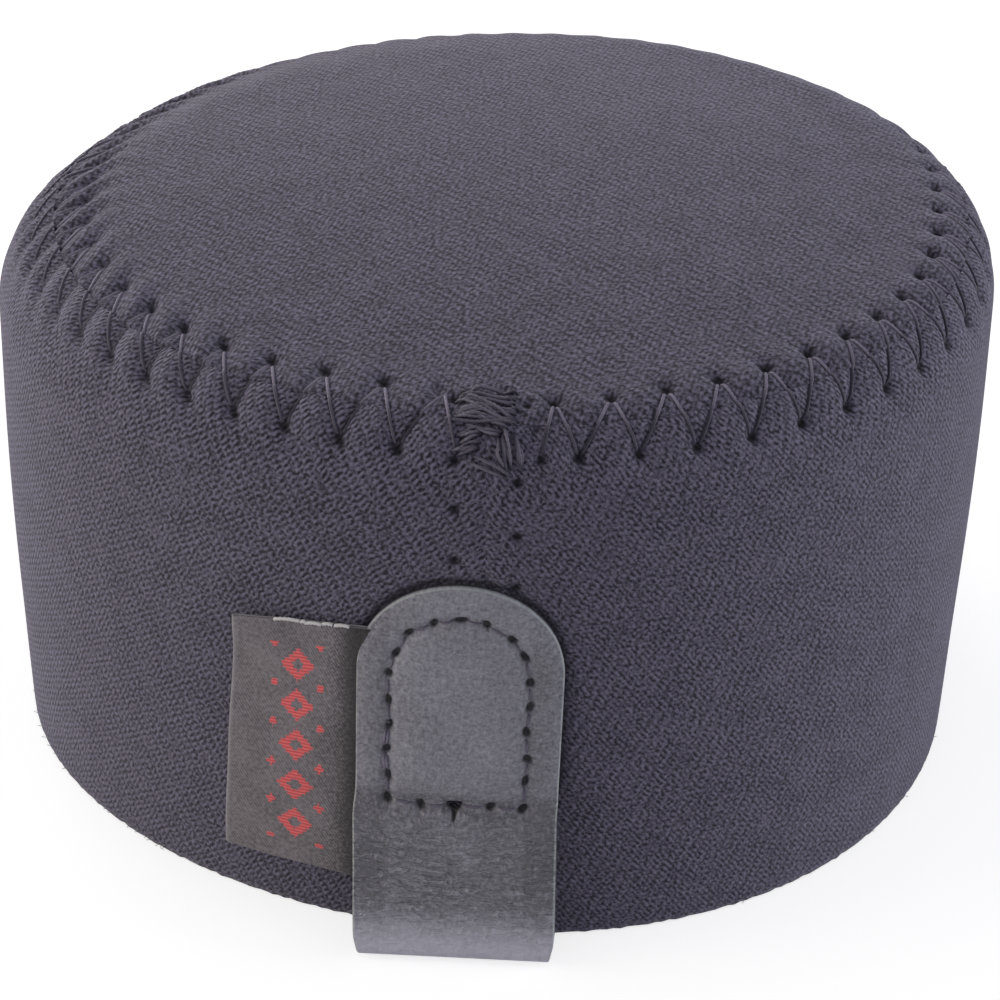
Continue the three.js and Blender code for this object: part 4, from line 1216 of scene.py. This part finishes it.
class LENSCAP_OT_label(bpy.types.Operator):
    """Makes the folded woven label and the thread ends along its top"""
    bl_idname = "lens_cap.label"
    bl_label = "Label"

    def execute(self, context):
        along = np.concatenate([np.linspace(-1, -0.06, 40)[:-1], np.linspace(-0.06, 0.06, 15)[:-1],
                                np.linspace(0.06, 1, 60)])
        colours = context.scene.lens_cap_colours

        def plan(inset):
            w, t = np.meshgrid(along, np.linspace(0, 1, 76))
            return w * (LABEL_HALF - inset), inset + t * (LABEL_HEIGHT - 2 * inset)

        faces, flat, height, edge = slab(plan, LABEL_LEAF / 2, LABEL_LEAF / 4, arc=1)
        label = piece("woven_label", (label_point(*flat.T, height), faces, flat, {"edge": edge}),
                      finish("label satin", woven_label, colours.label, colours.motif,
                             context.scene.lens_cap_sizes.lozenge),
                      body=None, replaced=["label_sewn_ends", "label_free_fold"])
        pale = finish("pale thread", sewing_thread, (0.8, 0.76, 0.82))
        ends = piece("label_thread_ends", loose_ends(), pale, body=None)
        start, end = label_point(LABEL_HINGE, np.full(2, LABEL_HEIGHT / 2), -LABEL_OFF)
        for thing in (label, ends):
            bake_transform(thing)
        return {"FINISHED"}


# Stage


class LENSCAP_OT_stage(bpy.types.Operator):
    """Sets the floor, the lamps, the sky and the camera"""
    bl_idname = "lens_cap.stage"
    bl_label = "Stage"

    def execute(self, context):
        scene = context.scene
        scene.view_settings.view_transform = "Standard"

        def add(name, data):
            thing = bpy.data.objects.new(name, data)
            scene.collection.objects.link(thing)
            return thing

        mesh = bpy.data.meshes.new("floor")
        corners = [(-FLOOR, -FLOOR, 0), (FLOOR, -FLOOR, 0), (FLOOR, FLOOR, 0), (-FLOOR, FLOOR, 0)]
        mesh.from_pydata(corners, [], [(0, 1, 2, 3)])
        add("floor", mesh)
        f = Finish("pale floor")
        seen = f.ray("Camera").most(f.ray("Glossy")).most(f.ray("Transmission"))
        mesh.materials.append(f.done(Base_Color=(0.62, 0.62, 0.63), Roughness=0.9, Specular_IOR_Level=0.1,
                                     Emission_Color=(1.0, 1.0, 1.0), Emission_Strength=seen * 0.71))

        # the sky lights the cap softly, and is white where it is seen
        scene.world = bpy.data.worlds.new("studio")
        w = Nodes(scene.world)
        soft = w.node("ShaderNodeBackground", {"Color": (0.97, 0.97, 1.0), "Strength": 0.43})
        white = w.node("ShaderNodeBackground", {"Color": (1.0, 1.0, 1.0), "Strength": 1.0})
        seen = w.ray("Camera").most(w.ray("Transmission"))
        sky = w.node("ShaderNodeMixShader", {0: seen, 1: soft, 2: white})
        w.put(sky, w.tree.nodes.new("ShaderNodeOutputWorld").inputs["Surface"])

        # (name, place, width, power, colour): each lamp looks at the middle of the cap
        lamps = [
            ("softbox_over", (-0.5, 0.75, 0.22), 0.6, 3.0, (1.0, 0.98, 1.0)),
            ("softbox_left", (-0.75, -0.1, 0.17), 0.5, 2.5, (1.0, 0.9, 0.74)),
            ("softbox_right", (0.75, 0.0, 0.06), 0.5, 3.0, (0.94, 0.95, 1.0)),
        ]
        for name, at, width, power, colour in lamps:
            light = bpy.data.lights.new(name, "AREA")
            light.size, light.energy, light.color = width, power, colour
            lamp = add(name, light)
            lamp.location = at
            lamp.rotation_mode = "QUATERNION"
            lamp.rotation_quaternion = (Vector((0, 0, 0.03)) - Vector(at)).to_track_quat("-Z", "Y")

        camera = add("camera", bpy.data.cameras.new("camera"))
        right = np.array([1, 0, 0])
        up = np.array([0, LOOK_DOWN, LOOK_ALONG])
        back = np.array([0, -LOOK_ALONG, LOOK_DOWN])
        axes = np.stack([right - CAMERA_ROLL * up, up + CAMERA_ROLL * right, back, CAMERA_PLACE], 1)
        camera.matrix_world = Matrix([*axes.tolist(), [0, 0, 0, 1]])
        camera.data.lens, camera.data.sensor_width = CAMERA_LENS, CAMERA_SENSOR
        camera.data.shift_x, camera.data.shift_y = CAMERA_SHIFT
        camera.data.clip_start, camera.data.clip_end = 0.01, 10
        scene.camera = camera
        return {"FINISHED"}


OPERATORS = (LENSCAP_OT_stage, LENSCAP_OT_crown, LENSCAP_OT_wall, LENSCAP_OT_seams, LENSCAP_OT_tab,
             LENSCAP_OT_label)


class LENSCAP_PT_panel(bpy.types.Panel):
    """Lists the cap's pieces, sizes and colours"""
    bl_idname = "LENSCAP_PT_panel"
    bl_label = "Soft Lens Cap"
    bl_space_type = "VIEW_3D"
    bl_region_type = "UI"
    bl_category = "Lens Cap"

    def draw(self, context):
        for operator in OPERATORS:
            self.layout.operator(operator.bl_idname)
        for group in (context.scene.lens_cap_sizes, context.scene.lens_cap_colours):
            column = self.layout.column()
            for key in group.__annotations__:
                column.prop(group, key)


CLASSES = (LensCapSizes, LensCapColours, *OPERATORS, LENSCAP_PT_panel)


def register():
    for cls in CLASSES:
        bpy.utils.register_class(cls)
    bpy.types.Scene.lens_cap_sizes = bpy.props.PointerProperty(type=LensCapSizes)
    bpy.types.Scene.lens_cap_colours = bpy.props.PointerProperty(type=LensCapColours)


def unregister():
    del bpy.types.Scene.lens_cap_colours
    del bpy.types.Scene.lens_cap_sizes
    for cls in reversed(CLASSES):
        bpy.utils.unregister_class(cls)


def main():
    """Registers the classes, and makes every piece in order."""
    register()
    for operator in OPERATORS:
        group, name = operator.bl_idname.split(".")
        getattr(getattr(bpy.ops, group), name)()


if __name__ == "__main__":
    main()
